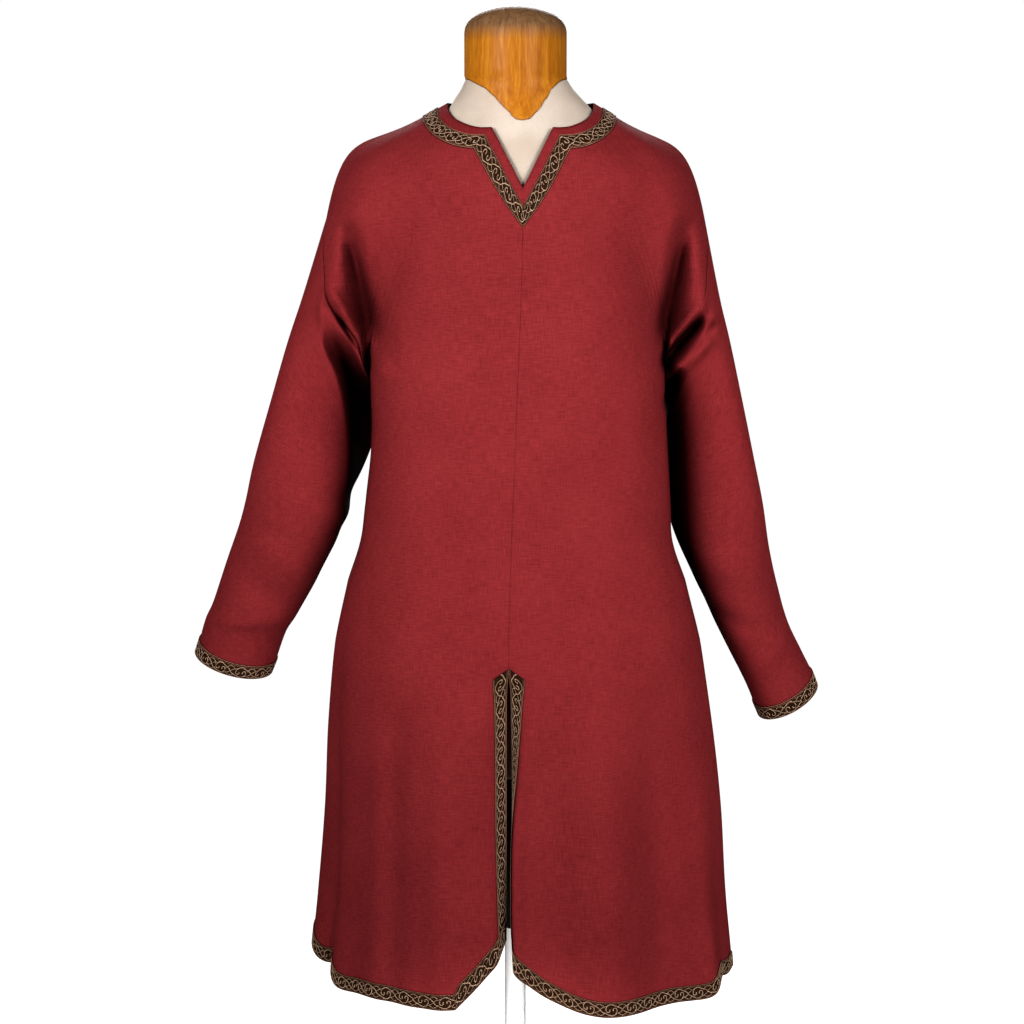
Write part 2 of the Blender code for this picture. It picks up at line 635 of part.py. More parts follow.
def seam_columns(points_shape):
    """Indices of the centre, side and shoulder edges of half a body panel, and their neighbours."""
    yoke_rows, yoke_columns, skirt_rows = points_shape
    centre = [row * yoke_columns for row in range(yoke_rows)]
    centre_next = [index + 1 for index in centre]
    first = yoke_rows * yoke_columns
    width = RING_COLUMNS + 1
    centre += [first + row * width for row in range(skirt_rows)]
    centre_next += [first + row * width + 1 for row in range(skirt_rows)]
    side = [first + row * width + RING_COLUMNS for row in range(skirt_rows)]
    shoulder = [row * yoke_columns + yoke_columns - 1 for row in range(yoke_rows)]
    return centre, centre_next, side + shoulder, [index - 1 for index in side + shoulder]


def make_material(name, colour, roughness):
    """Makes a plain material from a base colour and a roughness."""
    material = bpy.data.materials.new(name)
    material.use_nodes = True
    shader = material.node_tree.nodes["Principled BSDF"]
    shader.inputs["Base Color"].default_value = (*colour, 1.0)
    shader.inputs["Roughness"].default_value = roughness
    return material


def clear_scene():
    """Removes what the startup scene holds."""
    for old in list(bpy.data.objects):
        bpy.data.objects.remove(old, do_unlink=True)
    collection = bpy.data.collections.new(COLLECTION_NAME)
    bpy.context.scene.collection.children.link(collection)


def build_cloth(materials):
    """Builds the panels, the sleeves and the braids."""
    yoke_shape = (YOKE_ROWS + 3, RING_COLUMNS + ARMHOLE_COLUMNS + 1)
    skirt_rows = CHEST_ROWS + SKIRT_ROWS + 1
    halves = [body_half(side, front) for side in (-1, 1) for front in (True, False)]
    sleeves = []
    for side in (-1, 1):
        grid = sleeve_grid(side)
        faces = grid_faces(grid.shape[0], grid.shape[1], loop=True)
        faces = [face if side > 0 else face[:1] + face[:0:-1] for face in faces]
        sleeves.append((grid.reshape(-1, 3), faces))
    normals = merged_normals(halves + sleeves)
    front_right, back_right, front_left, back_left = halves
    centre, centre_next, outside, outside_next = seam_columns((*yoke_shape, skirt_rows))
    fronts = {}
    for name, half, normal in (("right", front_right, normals[0]), ("left", front_left, normals[2])):
        points = pull_back(half[0], centre, centre_next, SEAM_GAP / 2)
        points = pull_back(points, outside, outside_next, SEAM_GAP)
        fronts[name] = (points, normal)
        make_wall(f"front_{name}", points, normal, half[1], -CLOTH_WALL, 0.0, materials["linen"])
    points, normal, faces = join_halves(back_right, back_left, normals[1], normals[3])
    make_wall("back", points, normal, faces, -CLOTH_WALL, 0.0, materials["linen"])
    backs = {"right": (back_right[0], normals[1]), "left": (back_left[0], normals[3])}
    for name, sleeve, normal in (("right", sleeves[0], normals[4]), ("left", sleeves[1], normals[5])):
        top = list(range(SLEEVE_COLUMNS))
        below = [index + SLEEVE_COLUMNS for index in top]
        points = pull_back(sleeve[0], top, below, 1.5 * SEAM_GAP)
        make_wall(f"sleeve_{name}", points, normal, sleeve[1], -CLOTH_WALL, 0.0, materials["linen"])
        make_cuff_braid(name, points, normal, materials["braid"])
        make_slit_braid(name, *fronts[name], materials["braid"])
    make_neck_braid(fronts, backs, materials["braid"])
    make_hem_braid(fronts, backs, materials["braid"])


def make_braid(name, points, normals, mirrored, material):
    """Makes a braid from rows of panel points, moved out from the cloth.

    There is a flag for each column of faces, set where the columns run against the panel's.
    """
    faces = grid_faces(points.shape[0], points.shape[1], loop=len(mirrored) == points.shape[1])
    turned = list(mirrored) * (points.shape[0] - 1)
    faces = [face[1:] + face[:1] if turn else face for face, turn in zip(faces, turned)]
    flat_points = points.reshape(-1, 3)
    flat_normals = normals.reshape(-1, 3)
    return make_wall(name, flat_points, flat_normals, faces, BRAID_LIFT, BRAID_LIFT + BRAID_THICKNESS, material)


def make_cuff_braid(name, points, normals, material):
    """Lays the cuff braid over the sleeve's last rows."""
    rows = np.arange(2 * SLEEVE_COLUMNS) + len(points) - 2 * SLEEVE_COLUMNS
    shape = (2, SLEEVE_COLUMNS, 3)
    make_braid(
        f"cuff_trim_{name}",
        points[rows].reshape(shape),
        normals[rows].reshape(shape),
        [False] * SLEEVE_COLUMNS,
        material,
    )


def skirt_index(row, column):
    """Index, among half a panel's points, of a skirt row counted from below the armpit ring."""
    first = (YOKE_ROWS + 3) * (RING_COLUMNS + ARMHOLE_COLUMNS + 1)
    return first + (row - 1) * (RING_COLUMNS + 1) + column


def make_slit_braid(name, points, normals, material):
    """Lays a braid along one edge of the slit, down to the hem braid."""
    rows = range(CHEST_ROWS, CHEST_ROWS + SKIRT_ROWS + 1)
    index = np.array([[skirt_index(row, column) for column in range(3)] for row in rows])
    braid = points[index]
    braid[-1] += BRAID_LIFT * unit(braid[-2] - braid[-1])
    make_braid(f"slit_trim_{name}", braid, normals[index], [False, False], material)


def make_neck_braid(fronts, backs, material):
    """Lays the neck braid round the neckline and the V."""
    columns = RING_COLUMNS + ARMHOLE_COLUMNS
    wanted = (
        (fronts["right"], range(columns, 0, -1)),
        (fronts["left"], range(0, columns)),
        (backs["left"], range(columns, 0, -1)),
        (backs["right"], range(0, columns)),
    )
    points = []
    normals = []
    for (half_points, half_normals), order in wanted:
        index = np.array([[row * (columns + 1) + column for column in order] for row in (1, 2)])
        points.append(half_points[index])
        normals.append(half_normals[index])
    points = np.concatenate(points, axis=1)
    normals = np.concatenate(normals, axis=1)
    make_braid("neck_trim", points, normals, ([True] * columns + [False] * columns) * 2, material)


def make_hem_braid(fronts, backs, material):
    """Lays the hem braid from one slit edge round the back to the other."""
    wanted = (
        (fronts["left"], range(0, RING_COLUMNS)),
        (backs["left"], range(RING_COLUMNS, 0, -1)),
        (backs["right"], range(0, RING_COLUMNS)),
        (fronts["right"], range(RING_COLUMNS, -1, -1)),
    )
    points = []
    normals = []
    hem_row = CHEST_ROWS + SKIRT_ROWS + 1
    for (half_points, half_normals), order in wanted:
        index = np.array([[skirt_index(row, column) for column in order] for row in (hem_row - 1, hem_row)])
        points.append(half_points[index])
        normals.append(half_normals[index])
    points = np.concatenate(points, axis=1)
    normals = np.concatenate(normals, axis=1)
    mirrored = ([False] * RING_COLUMNS + [True] * RING_COLUMNS) * 2
    make_braid("hem_trim", points, normals, mirrored, material)


def round_rings(rings):
    """Points and faces of a closed body through rings of points, capped at both ends."""
    rings = np.asarray(rings)
    count = rings.shape[1]
    faces = grid_faces(rings.shape[0], count, loop=True)
    last = (rings.shape[0] - 1) * count
    faces.append(tuple(range(count))[::-1])
    faces.append(tuple(last + index for index in range(count)))
    return rings.reshape(-1, 3), faces


def torso_ring(z, angle, grow):
    """Points round the form at a height for each angle, grown outwards by a distance."""
    z = z + np.zeros_like(angle)
    rows = np.array(TORSO_TABLE)[::-1]
    middle, half, front, back, squareness = (np.interp(z, rows[:, 0], values) for values in rows.T[1:])
    power = 2.0 / squareness
    x = half * np.sign(np.cos(angle)) * np.abs(np.cos(angle)) ** power
    depth = np.where(np.sin(angle) < 0, front, back)
    y = depth * np.sign(np.sin(angle)) * np.abs(np.sin(angle)) ** power
    ring = np.stack((x, y), axis=-1)
    ring = ring + grow * unit(ring)
    ring[:, 0] += middle
    return np.column_stack((ring, z))


def build_torso(material):
    """Builds the cloth-covered torso and neck through its rings, from the bottom up."""
    angle = np.arange(FORM_SEGMENTS) * 2.0 * math.pi / FORM_SEGMENTS
    rings = [torso_ring(row[0], angle, 0.0) for row in TORSO_TABLE[::-1]]
    points, faces = round_rings(rings)
    make_object("torso_form", points, faces, material)


def build_cap(material):
    """Builds the wooden cap, with its tongue down the front of the neck."""
    angle = np.arange(FORM_SEGMENTS) * 2.0 * math.pi / FORM_SEGMENTS
    across = np.cos(angle)
    along = np.sin(angle)
    x = CAP_HALF_WIDTH * across
    y = np.where(along < 0, CAP_FRONT, CAP_BACK) * along
    facing = np.clip(-CAP_TONGUE_FACING * along, 0.0, 1.0)
    reach = np.abs((x - CAP_TONGUE_X) / CAP_TONGUE_WIDTH) ** CAP_TONGUE_POWER
    bottom = CAP_EDGE_Z - facing * CAP_TONGUE_DROP * np.exp(-reach)
    neck_top = TORSO_TABLE[0][0]
    rings = [torso_ring(neck_top, angle, CAP_CLEARANCE)]
    rings[0][:, 2] = neck_top + CAP_CLEARANCE
    for share in CAP_INNER_SHARES:
        rings.append(torso_ring(neck_top + (bottom - neck_top) * share, angle, CAP_CLEARANCE))
    rings.append(torso_ring(bottom, angle, CAP_EDGE_ROUND * CAP_SKIRT))
    for share in CAP_OUTER_SHARES:
        level = bottom + (CAP_EDGE_Z - bottom) * share + CAP_EDGE_RISE
        rings.append(torso_ring(level, angle, CAP_SKIRT))
    dome_z = CAP_TOP_Z - CAP_DOME_HEIGHT
    for z in (CAP_EDGE_Z + CAP_RIM_HEIGHTS[0], CAP_EDGE_Z + CAP_RIM_HEIGHTS[1], dome_z):
        rings.append(np.stack((x, y, np.full_like(x, z)), axis=-1))
    for step in range(1, CAP_DOME_STEPS):
        tilt = math.pi / 2 * step / CAP_DOME_STEPS
        scale = math.cos(tilt) ** CAP_DOME_POWER
        z = dome_z + CAP_DOME_HEIGHT * math.sin(tilt) ** CAP_DOME_POWER
        rings.append(np.stack((x * scale, y * scale, np.full_like(x, z)), axis=-1))
    points, faces = round_rings(rings)
    make_object("neck_cap", points, faces, material)


def build_stand(material):
    """Builds the pole under the form and the round base."""
    pole_low = BASE_HEIGHT + STAND_GAP
    pole_high = TORSO_TABLE[-1][0] - STAND_GAP
    bpy.ops.mesh.primitive_cylinder_add(
        vertices=POLE_SEGMENTS,
        radius=POLE_RADIUS,
        depth=pole_high - pole_low,
        location=(0.0, 0.0, (pole_high + pole_low) / 2),
    )
    pole = bpy.context.object
    bpy.ops.mesh.primitive_cylinder_add(
        vertices=BASE_SEGMENTS,
        radius=BASE_RADIUS,
        depth=BASE_HEIGHT,
        location=(0.0, 0.0, BASE_HEIGHT / 2),
    )
    base = bpy.context.object
    bevel = base.modifiers.new("Rounding", "BEVEL")
    bevel.width = BASE_ROUNDING
    bevel.segments = 3
    for name, made in (("stand_pole", pole), ("stand_base", base)):
        made.name = name
        made.data.name = name
        made.data.materials.append(material)
        for old in list(made.users_collection):
            old.objects.unlink(made)
        bpy.data.collections[COLLECTION_NAME].objects.link(made)


def main():
    """Builds every piece in its place."""
    clear_scene()
    materials = {name: make_material(name, *values) for name, values in FINISHES.items()}
    build_cloth(materials)
    build_torso(materials["form_cloth"])
    build_cap(materials["varnished_wood"])
    build_stand(materials["painted_steel"])


main()
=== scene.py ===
"""Looks of a dark red linen tunic shirt on a limbless dress form, in metres, +Z up.

The cloth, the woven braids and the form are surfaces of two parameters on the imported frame:
the body runs in columns from the centre to the side seam and in rows from the neck to the hem,
each sleeve runs round the arm and along it, and every braid is laid on points of these surfaces.
"""

import logging
import math
from dataclasses import dataclass
from enum import Enum
from typing import TypeVar

import bmesh
import bpy
import numpy as np
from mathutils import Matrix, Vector

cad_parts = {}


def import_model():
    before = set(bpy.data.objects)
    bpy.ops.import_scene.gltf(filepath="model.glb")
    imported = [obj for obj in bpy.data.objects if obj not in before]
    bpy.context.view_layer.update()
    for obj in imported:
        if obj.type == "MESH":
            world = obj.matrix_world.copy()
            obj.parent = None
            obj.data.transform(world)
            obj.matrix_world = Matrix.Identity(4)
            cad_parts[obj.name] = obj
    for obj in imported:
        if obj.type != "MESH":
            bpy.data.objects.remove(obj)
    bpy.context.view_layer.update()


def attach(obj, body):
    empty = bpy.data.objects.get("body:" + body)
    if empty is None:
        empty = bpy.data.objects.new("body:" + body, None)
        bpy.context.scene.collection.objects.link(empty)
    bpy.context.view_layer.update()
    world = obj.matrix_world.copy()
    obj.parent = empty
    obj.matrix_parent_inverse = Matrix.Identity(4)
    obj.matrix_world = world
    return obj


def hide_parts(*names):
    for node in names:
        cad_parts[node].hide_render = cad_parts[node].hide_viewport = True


LOG = logging.getLogger("tunic")
CLOTH_UV = "cloth"

Array = np.ndarray
Row = tuple[float, ...]
Rows = tuple[Row, ...]
Value = TypeVar("Value")
Material = bpy.types.Material
NodeTree = bpy.types.NodeTree
Piece = bpy.types.Object
Socket = bpy.types.NodeSocket


class Side(Enum):
    """Side of the object, with the sign of its X."""

    MINUS_X = -1
    PLUS_X = 1

    @property
    def word(self) -> str:
        """The wearer's word for the side."""
        return self.of("right", "left")

    def of(self, minus_x: Value, plus_x: Value) -> Value:
        """The first value on the side of -X and the second on that of +X."""
        return minus_x if self is Side.MINUS_X else plus_x


class Face(Enum):
    """Front or back of the body."""

    FRONT = "front"
    BACK = "back"

    def of(self, front: Value, back: Value) -> Value:
        """The first value on the front and the second on the back."""
        return front if self is Face.FRONT else back


# ---- plain arithmetic on whole arrays


def smooth_step(x: Array) -> Array:
    """Eases from 0 to 1 while x goes from 0 to 1: 3 x^2 - 2 x^3."""
    x = np.clip(x, 0.0, 1.0)
    return x * x * (3.0 - 2.0 * x)


def cubic(t: Array, start: Array, start_slope: Array, end: Array, end_slope: Array) -> Array:
    """The cubic with given ends and slopes, each weighed by its own cubic of t.

    Args:
        t: Places from 0 to 1, with a last axis of length 1.
        start: Value at 0.
        start_slope: Slope at 0.
        end: Value at 1.
        end_slope: Slope at 1.

    Returns:
        The value at each place.
    """
    return (
        (2 * t**3 - 3 * t**2 + 1) * start
        + (t**3 - 2 * t**2 + t) * start_slope
        + (3 * t**2 - 2 * t**3) * end
        + (t**3 - t**2) * end_slope
    )


def through(table: Rows | Array, at: Array) -> Array:
    """Reads smooth values off the rows of a table by a cubic through each four rows.

    Args:
        table: Rows of values.
        at: Places, counted in rows from 0.

    Returns:
        The values at each place, in a new last axis.
    """
    rows = np.asarray(table, float)
    last = len(rows) - 1
    at = np.clip(np.asarray(at, float), 0.0, last)
    low = np.minimum(at.astype(int), last - 1)
    start, end = rows[low], rows[low + 1]
    start_slope = (end - rows[np.maximum(low - 1, 0)]) / 2.0
    end_slope = (rows[np.minimum(low + 2, last)] - start) / 2.0
    return cubic((at - low)[..., None], start, start_slope, end, end_slope)


def by_height(table: Rows, z: Array) -> Array:
    """Reads smooth values off a table whose first column is a falling height.

    Args:
        table: Rows that start with their height.
        z: Heights to read.

    Returns:
        The other values of the row at each height, in a new last axis.
    """
    rows = np.asarray(table, float)
    at = np.interp(-np.asarray(z, float), -rows[:, 0], np.arange(len(rows)))
    return through(rows[:, 1:], at)


def unit(vectors: Array) -> Array:
    """Scales vectors to length 1."""
    lengths = np.linalg.norm(vectors, axis=-1, keepdims=True)
    return vectors / np.maximum(lengths, 1e-12)


def bell(distance: Array, width: float) -> Array:
    """Falls from 1 to 0 on both sides of 0: exp(-(distance / width)^2)."""
    return np.exp(-((distance / width) ** 2))


def stretches(*ends_and_counts: tuple[float, float, int]) -> Array:
    """Even places along stretches that follow each other, with each shared end once.

    Args:
        ends_and_counts: Start, end and number of steps of each stretch.

    Returns:
        The places.
    """
    runs = [np.linspace(start, end, count + 1) for start, end, count in ends_and_counts]
    return np.concatenate([runs[0], *(run[1:] for run in runs[1:])])


def round_turn(count: int) -> Array:
    """Even angles round a full turn, in radians from 0."""
    return np.arange(count) * 2.0 * math.pi / count


# ---- meshes


@dataclass
class MeshParts:
    """Points, four-cornered faces, cloth coordinates and material slots of a mesh in the making."""

    points: Array
    faces: Array
    uv: Array
    finish: Array

    @classmethod
    def grid(
        cls, points: Array, uv: Array, loop: bool = False, flip: bool = False
    ) -> "MeshParts":
        """Joins a grid of points, rows by columns, with faces of the first material slot.

        Args:
            points: Points, with shape (rows, columns, 3).
            uv: Cloth coordinates of the points in metres, with shape (rows, columns, 2).
            loop: Whether the last column joins the first.
            flip: Whether the faces turn the other way.

        Returns:
            The mesh parts.
        """
        rows, columns = points.shape[:2]
        index = np.arange(rows * columns).reshape(rows, columns)
        if loop:
            index = np.concatenate((index, index[:, :1]), axis=1)
        corners = (index[:-1, :-1], index[:-1, 1:], index[1:, 1:], index[1:, :-1])
        faces = np.stack(corners, axis=-1).reshape(-1, 4)
        if flip:
            faces = faces[:, ::-1]
        return cls(points.reshape(-1, 3), faces, uv.reshape(-1, 2), np.zeros(len(faces), int))

    def joined(self, other: "MeshParts") -> "MeshParts":
        """Both meshes as one, their points kept apart.

        Args:
            other: The parts that follow.

        Returns:
            The mesh of both.
        """
        return MeshParts(
            np.vstack((self.points, other.points)),
            np.vstack((self.faces, other.faces + len(self.points))),
            np.vstack((self.uv, other.uv)),
            np.concatenate((self.finish, other.finish)),
        )

    def with_faces(self, *more: Array) -> "MeshParts":
        """The same mesh with more faces of the first material slot."""
        faces = np.vstack((self.faces, *more))
        return MeshParts(self.points, faces, self.uv, np.zeros(len(faces), int))


def build_mesh(name: str, parts: MeshParts, materials: list[Material], weld: float = 0.0) -> Piece:
    """Makes a smooth mesh object at the origin.

    Args:
        name: Name of the object and its mesh.
        parts: Its points and faces.
        materials: Materials of its slots.
        weld: Distance under which points are made one, or 0.

    Returns:
        The object, linked to the scene.
    """
    count, corners = parts.faces.shape
    mesh = bpy.data.meshes.new(name)
    mesh.vertices.add(len(parts.points))
    mesh.vertices.foreach_set("co", np.ascontiguousarray(parts.points, np.float32).ravel())
    mesh.loops.add(parts.faces.size)
    mesh.loops.foreach_set("vertex_index", np.ascontiguousarray(parts.faces, np.int32).ravel())
    mesh.polygons.add(count)
    mesh.polygons.foreach_set("loop_start", np.arange(count, dtype=np.int32) * corners)
    mesh.polygons.foreach_set("material_index", np.ascontiguousarray(parts.finish, np.int32))
    mesh.polygons.foreach_set("use_smooth", np.ones(count, bool))
    mesh.update(calc_edges=True)
    uv = np.ascontiguousarray(parts.uv[parts.faces.ravel()], np.float32)
    mesh.uv_layers.new(name=CLOTH_UV).data.foreach_set("uv", uv.ravel())
    for material in materials:
        mesh.materials.append(material)
    made = bpy.data.objects.new(name, mesh)
    bpy.context.scene.collection.objects.link(made)
    if weld > 0.0:
        work = bmesh.new()
        work.from_mesh(mesh)
        bmesh.ops.remove_doubles(work, verts=work.verts[:], dist=weld)
        work.to_mesh(mesh)
        work.free()
    return made


def give_wall(piece: Piece, thickness: float) -> Piece:
    """Gives an open surface a wall on its inner side, and returns it.

    Args:
        piece: An open surface.
        thickness: Of the wall, inwards.

    Returns:
        The piece.
    """
    wall = piece.modifiers.new("Wall", "SOLIDIFY")
    wall.thickness = thickness
    wall.offset = -1.0
    wall.use_rim = True
    return piece


# ---- materials


def srgb(code: str) -> tuple[float, float, float, float]:
    """Turns a hex colour such as 9B2A32 into linear red, green, blue and alpha.

    Args:
        code: A hex colour such as 9B2A32.

    Returns:
        Linear red, green, blue and alpha.
    """
    parts = (int(code[start : start + 2], 16) / 255.0 for start in (0, 2, 4))
    linear = [
        part / 12.92 if part <= 0.04045 else ((part + 0.055) / 1.055) ** 2.4 for part in parts
    ]
    return linear[0], linear[1], linear[2], 1.0


def add_node(
    tree: NodeTree,
    kind: str,
    settings: dict[str | int, object] | None = None,
    links: dict[str | int, Socket] | None = None,
) -> bpy.types.Node:
    """Adds a node with its settings and links.

    Args:
        tree: Node tree to add it to.
        kind: Type of node.
        settings: Values for its sockets by name or number, or else for its own properties. Those
            of a colour ramp may hold its stops, each a place and a hex colour.
        links: Sockets of other nodes to link to its inputs by name or number.

    Returns:
        The node.
    """
    node = tree.nodes.new(kind)
    for key, value in (settings or {}).items():
        if key == "stops":
            elements = node.color_ramp.elements
            while len(elements) < len(value):
                elements.new(0.5)
            for element, (place, code) in zip(elements, value):
                element.position = place
                element.color = srgb(code)
        elif isinstance(key, str) and hasattr(node, key):
            setattr(node, key, value)
        else:
            node.inputs[key].default_value = value
    for key, socket in (links or {}).items():
        tree.links.new(socket, node.inputs[key])
    return node


def new_material(name: str) -> tuple[Material, NodeTree, bpy.types.Node]:
    """A new material with its node tree and its Principled shader.

    Args:
        name: Of the material.

    Returns:
        The material, its nodes and its shader.
    """
    material = bpy.data.materials.new(name)
    material.use_nodes = True
    tree = material.node_tree
    return material, tree, tree.nodes["Principled BSDF"]


def deepened(
    tree: NodeTree,
    colour: Socket,
    deep: str,
    reach: float = 0.09,
    shares: Row = (0.2, 0.8),
    samples: int = 6,
) -> Socket:
    """Paints shade into a colour in recesses: darker where other surfaces are near, as painted
    shade at the bottom of folds.

    Args:
        tree: Node tree of the material.
        colour: Colour in the open.
        deep: Colour of the painted shade at the bottom of a narrow fold, as sRGB hex.
        reach: How near other surfaces count, in metres.
        shares: Shares of open surroundings that count as a fold's bottom and as the open.
        samples: Number of rays that look around.

    Returns:
        The colour with painted shade.
    """
    settings = {"samples": samples, "Distance": reach}
    # painted shade: ambient occlusion darkens the colour where other surfaces are near
    around = add_node(tree, "ShaderNodeAmbientOcclusion", settings)
    limits = dict(zip(("From Min", "From Max"), shares))
    share = add_node(tree, "ShaderNodeMapRange", limits, {"Value": around.outputs["AO"]})
    settings = {"data_type": "RGBA", 6: srgb(deep)}
    links = {"Factor": share.outputs["Result"], 7: colour}
    return add_node(tree, "ShaderNodeMix", settings, links).outputs[2]


@dataclass(frozen=True)
class Finish:
    """What the finishes share: colours along the tone of a pattern, painted shade in folds, relief
    and gloss.

    places are the tones of the colours, deep is painted shade, the colour painted at the
    bottom of a narrow fold, bump holds the relief's strength and its height in metres, and gloss
    the roughness, the specular level and, under varnish, the coat's weight and roughness.
    """

    name: str
    colours: tuple[str, ...]
    places: Row
    # colour of painted shade at the bottom of folds, or empty for none
    deep: str = ""
    bump: Row = ()
    gloss: Row = (0.9, 0.02)

    def pattern(self, tree: NodeTree) -> tuple[Socket, Socket | None]:
        """The tone that runs through the colours, and the height of the relief."""
        raise NotImplementedError

    def colour(self, tree: NodeTree, tone: Socket) -> Socket:
        """The colours along the tone, with painted shade in folds where there is a shade colour for
        that.

        Args:
            tree: The material's nodes.
            tone: The pattern's tone.

        Returns:
            The colour.
        """
        stops = tuple(zip(self.places, self.colours))
        ramp = add_node(tree, "ShaderNodeValToRGB", {"stops": stops}, {"Fac": tone})
        colour = ramp.outputs["Color"]
        return deepened(tree, colour, self.deep) if self.deep else colour

    def make(self) -> Material:
        """Makes the material from its pattern.

        Returns:
            The material.
        """
        material, tree, shader = new_material(self.name)
        tone, height = self.pattern(tree)
        tree.links.new(self.colour(tree, tone), shader.inputs["Base Color"])
        if height is not None:
            settings = dict(zip(("Strength", "Distance"), self.bump))
            relief = add_node(tree, "ShaderNodeBump", settings, {"Height": height})
            tree.links.new(relief.outputs["Normal"], shader.inputs["Normal"])
        names = ("Roughness", "Specular IOR Level", "Coat Weight", "Coat Roughness")
        for name, value in zip(names, self.gloss):
            shader.inputs[name].default_value = value
        return material


@dataclass(frozen=True)
class LinenFinish(Finish):
    """Piece-dyed linen, plain weave: matt, with slubs that run along warp and weft as fine
    lighter and darker streaks, and a faint cloudiness of the dye."""

    name: str = "piece_dyed_linen"
    colours: tuple[str, ...] = ("691A1D", "7C2326", "8B2A2D")
    places: Row = (0.36, 0.5, 0.64)
    # painted shade: the linen's colour at the bottom of deep folds and armhole recesses
    deep: str = "1C0203"
    bump: Row = (0.55, 0.0010)
    gloss: Row = (0.9, 0.02)
    thread: float = 0.0011  # real threads of 0.6 mm are finer than the render shows
    streak: float = 0.015
    slub: float = 0.010
    slubs_a_thread: float = 0.45
    cloud: float = 0.09
    cloud_share: float = 0.35

    def pattern(self, tree: NodeTree) -> tuple[Socket, Socket]:
        """The mean of warp and weft, mixed for the tone with the mean of slubs and clouds.

        Args:
            tree: The material's nodes.

        Returns:
            The tone and the height.
        """
        uv = add_node(tree, "ShaderNodeUVMap", {"uv_map": CLOTH_UV}).outputs["UV"]
        pairs = (
            ((self.thread, self.streak), (self.streak, self.thread)),
            ((self.slub, self.thread / self.slubs_a_thread), (self.cloud, self.cloud)),
        )
        means = []
        for pair in pairs:
            noises = []
            for along, across in pair:
                scale = {"Scale": (1 / along, 1 / across, 1.0)}
                place = add_node(tree, "ShaderNodeMapping", scale, {"Vector": uv}).outputs[0]
                settings = {"Scale": 1.0, "Detail": 2.0}
                noise = add_node(tree, "ShaderNodeTexNoise", settings, {"Vector": place})
                noises.append(noise.outputs["Fac"])
            settings = {"operation": "ADD"}
            both = add_node(tree, "ShaderNodeMath", settings, dict(enumerate(noises))).outputs[0]
            settings = {"operation": "MULTIPLY", 1: 0.5}
            means.append(add_node(tree, "ShaderNodeMath", settings, {0: both}).outputs[0])
        settings = {"Factor": self.cloud_share}
        tone = add_node(tree, "ShaderNodeMix", settings, dict(zip("AB", means)))
        return tone.outputs["Result"], means[0]


@dataclass(frozen=True)
class ThreadFinish(Finish):
    """Spun thread, woven or twisted: matt, with fine cross ribs where the threads turn over."""

    places: Row = (0.35, 0.65)
    # painted shade: the threads' colour where the braid lies in folds and recesses
    deep: str = "080403"
    bump: Row = (0.5, 0.0004)
    gloss: Row = (0.9, 0.06)
    rib: float = 0.0012  # real picks of 0.4 mm are finer than the render shows
    rib_width: float = 0.0024

    def pattern(self, tree: NodeTree) -> tuple[Socket, Socket]:
        """Short ribs across the thread, for both the tone and the relief.

        Args:
            tree: The material's nodes.

        Returns:
            The tone and the height.
        """
        uv = add_node(tree, "ShaderNodeUVMap", {"uv_map": CLOTH_UV}).outputs["UV"]
        scale = {"Scale": (1 / self.rib, 1 / self.rib_width, 1.0)}
        place = add_node(tree, "ShaderNodeMapping", scale, {"Vector": uv}).outputs[0]
        settings = {"Scale": 1.0, "Detail": 2.0}
        ribs = add_node(tree, "ShaderNodeTexNoise", settings, {"Vector": place}).outputs["Fac"]
        return ribs, ribs


@dataclass(frozen=True)
class JerseyFinish(Finish):
    """Unbleached cotton jersey stretched over the form: matt cream with a fine knit grain."""

    name: str = "cotton_jersey"
    colours: tuple[str, ...] = ("C4B1A0", "D8C8B8")
    places: Row = (0.35, 0.65)
    # painted shade: the jersey's colour where the tunic closes round it, as inside the skirt
    deep: str = "0A0604"
    bump: Row = (0.35, 0.0003)
    gloss: Row = (0.9, 0.25)
    knit: float = 0.0016
    cloud: float = 0.05
    cloud_share: float = 0.7

    def pattern(self, tree: NodeTree) -> tuple[Socket, Socket]:
        """The knit's grain, mixed for the tone with broad clouds.

        Args:
            tree: The material's nodes.

        Returns:
            The tone and the height.
        """
        place = add_node(tree, "ShaderNodeTexCoord").outputs["Object"]
        noises = []
        for size in (self.knit, self.cloud):
            settings = {"Scale": 1 / size, "Detail": 2.0}
            noise = add_node(tree, "ShaderNodeTexNoise", settings, {"Vector": place})
            noises.append(noise.outputs["Fac"])
        settings = {"Factor": self.cloud_share}
        tone = add_node(tree, "ShaderNodeMix", settings, dict(zip("AB", noises)))
        return tone.outputs["Result"], noises[0]


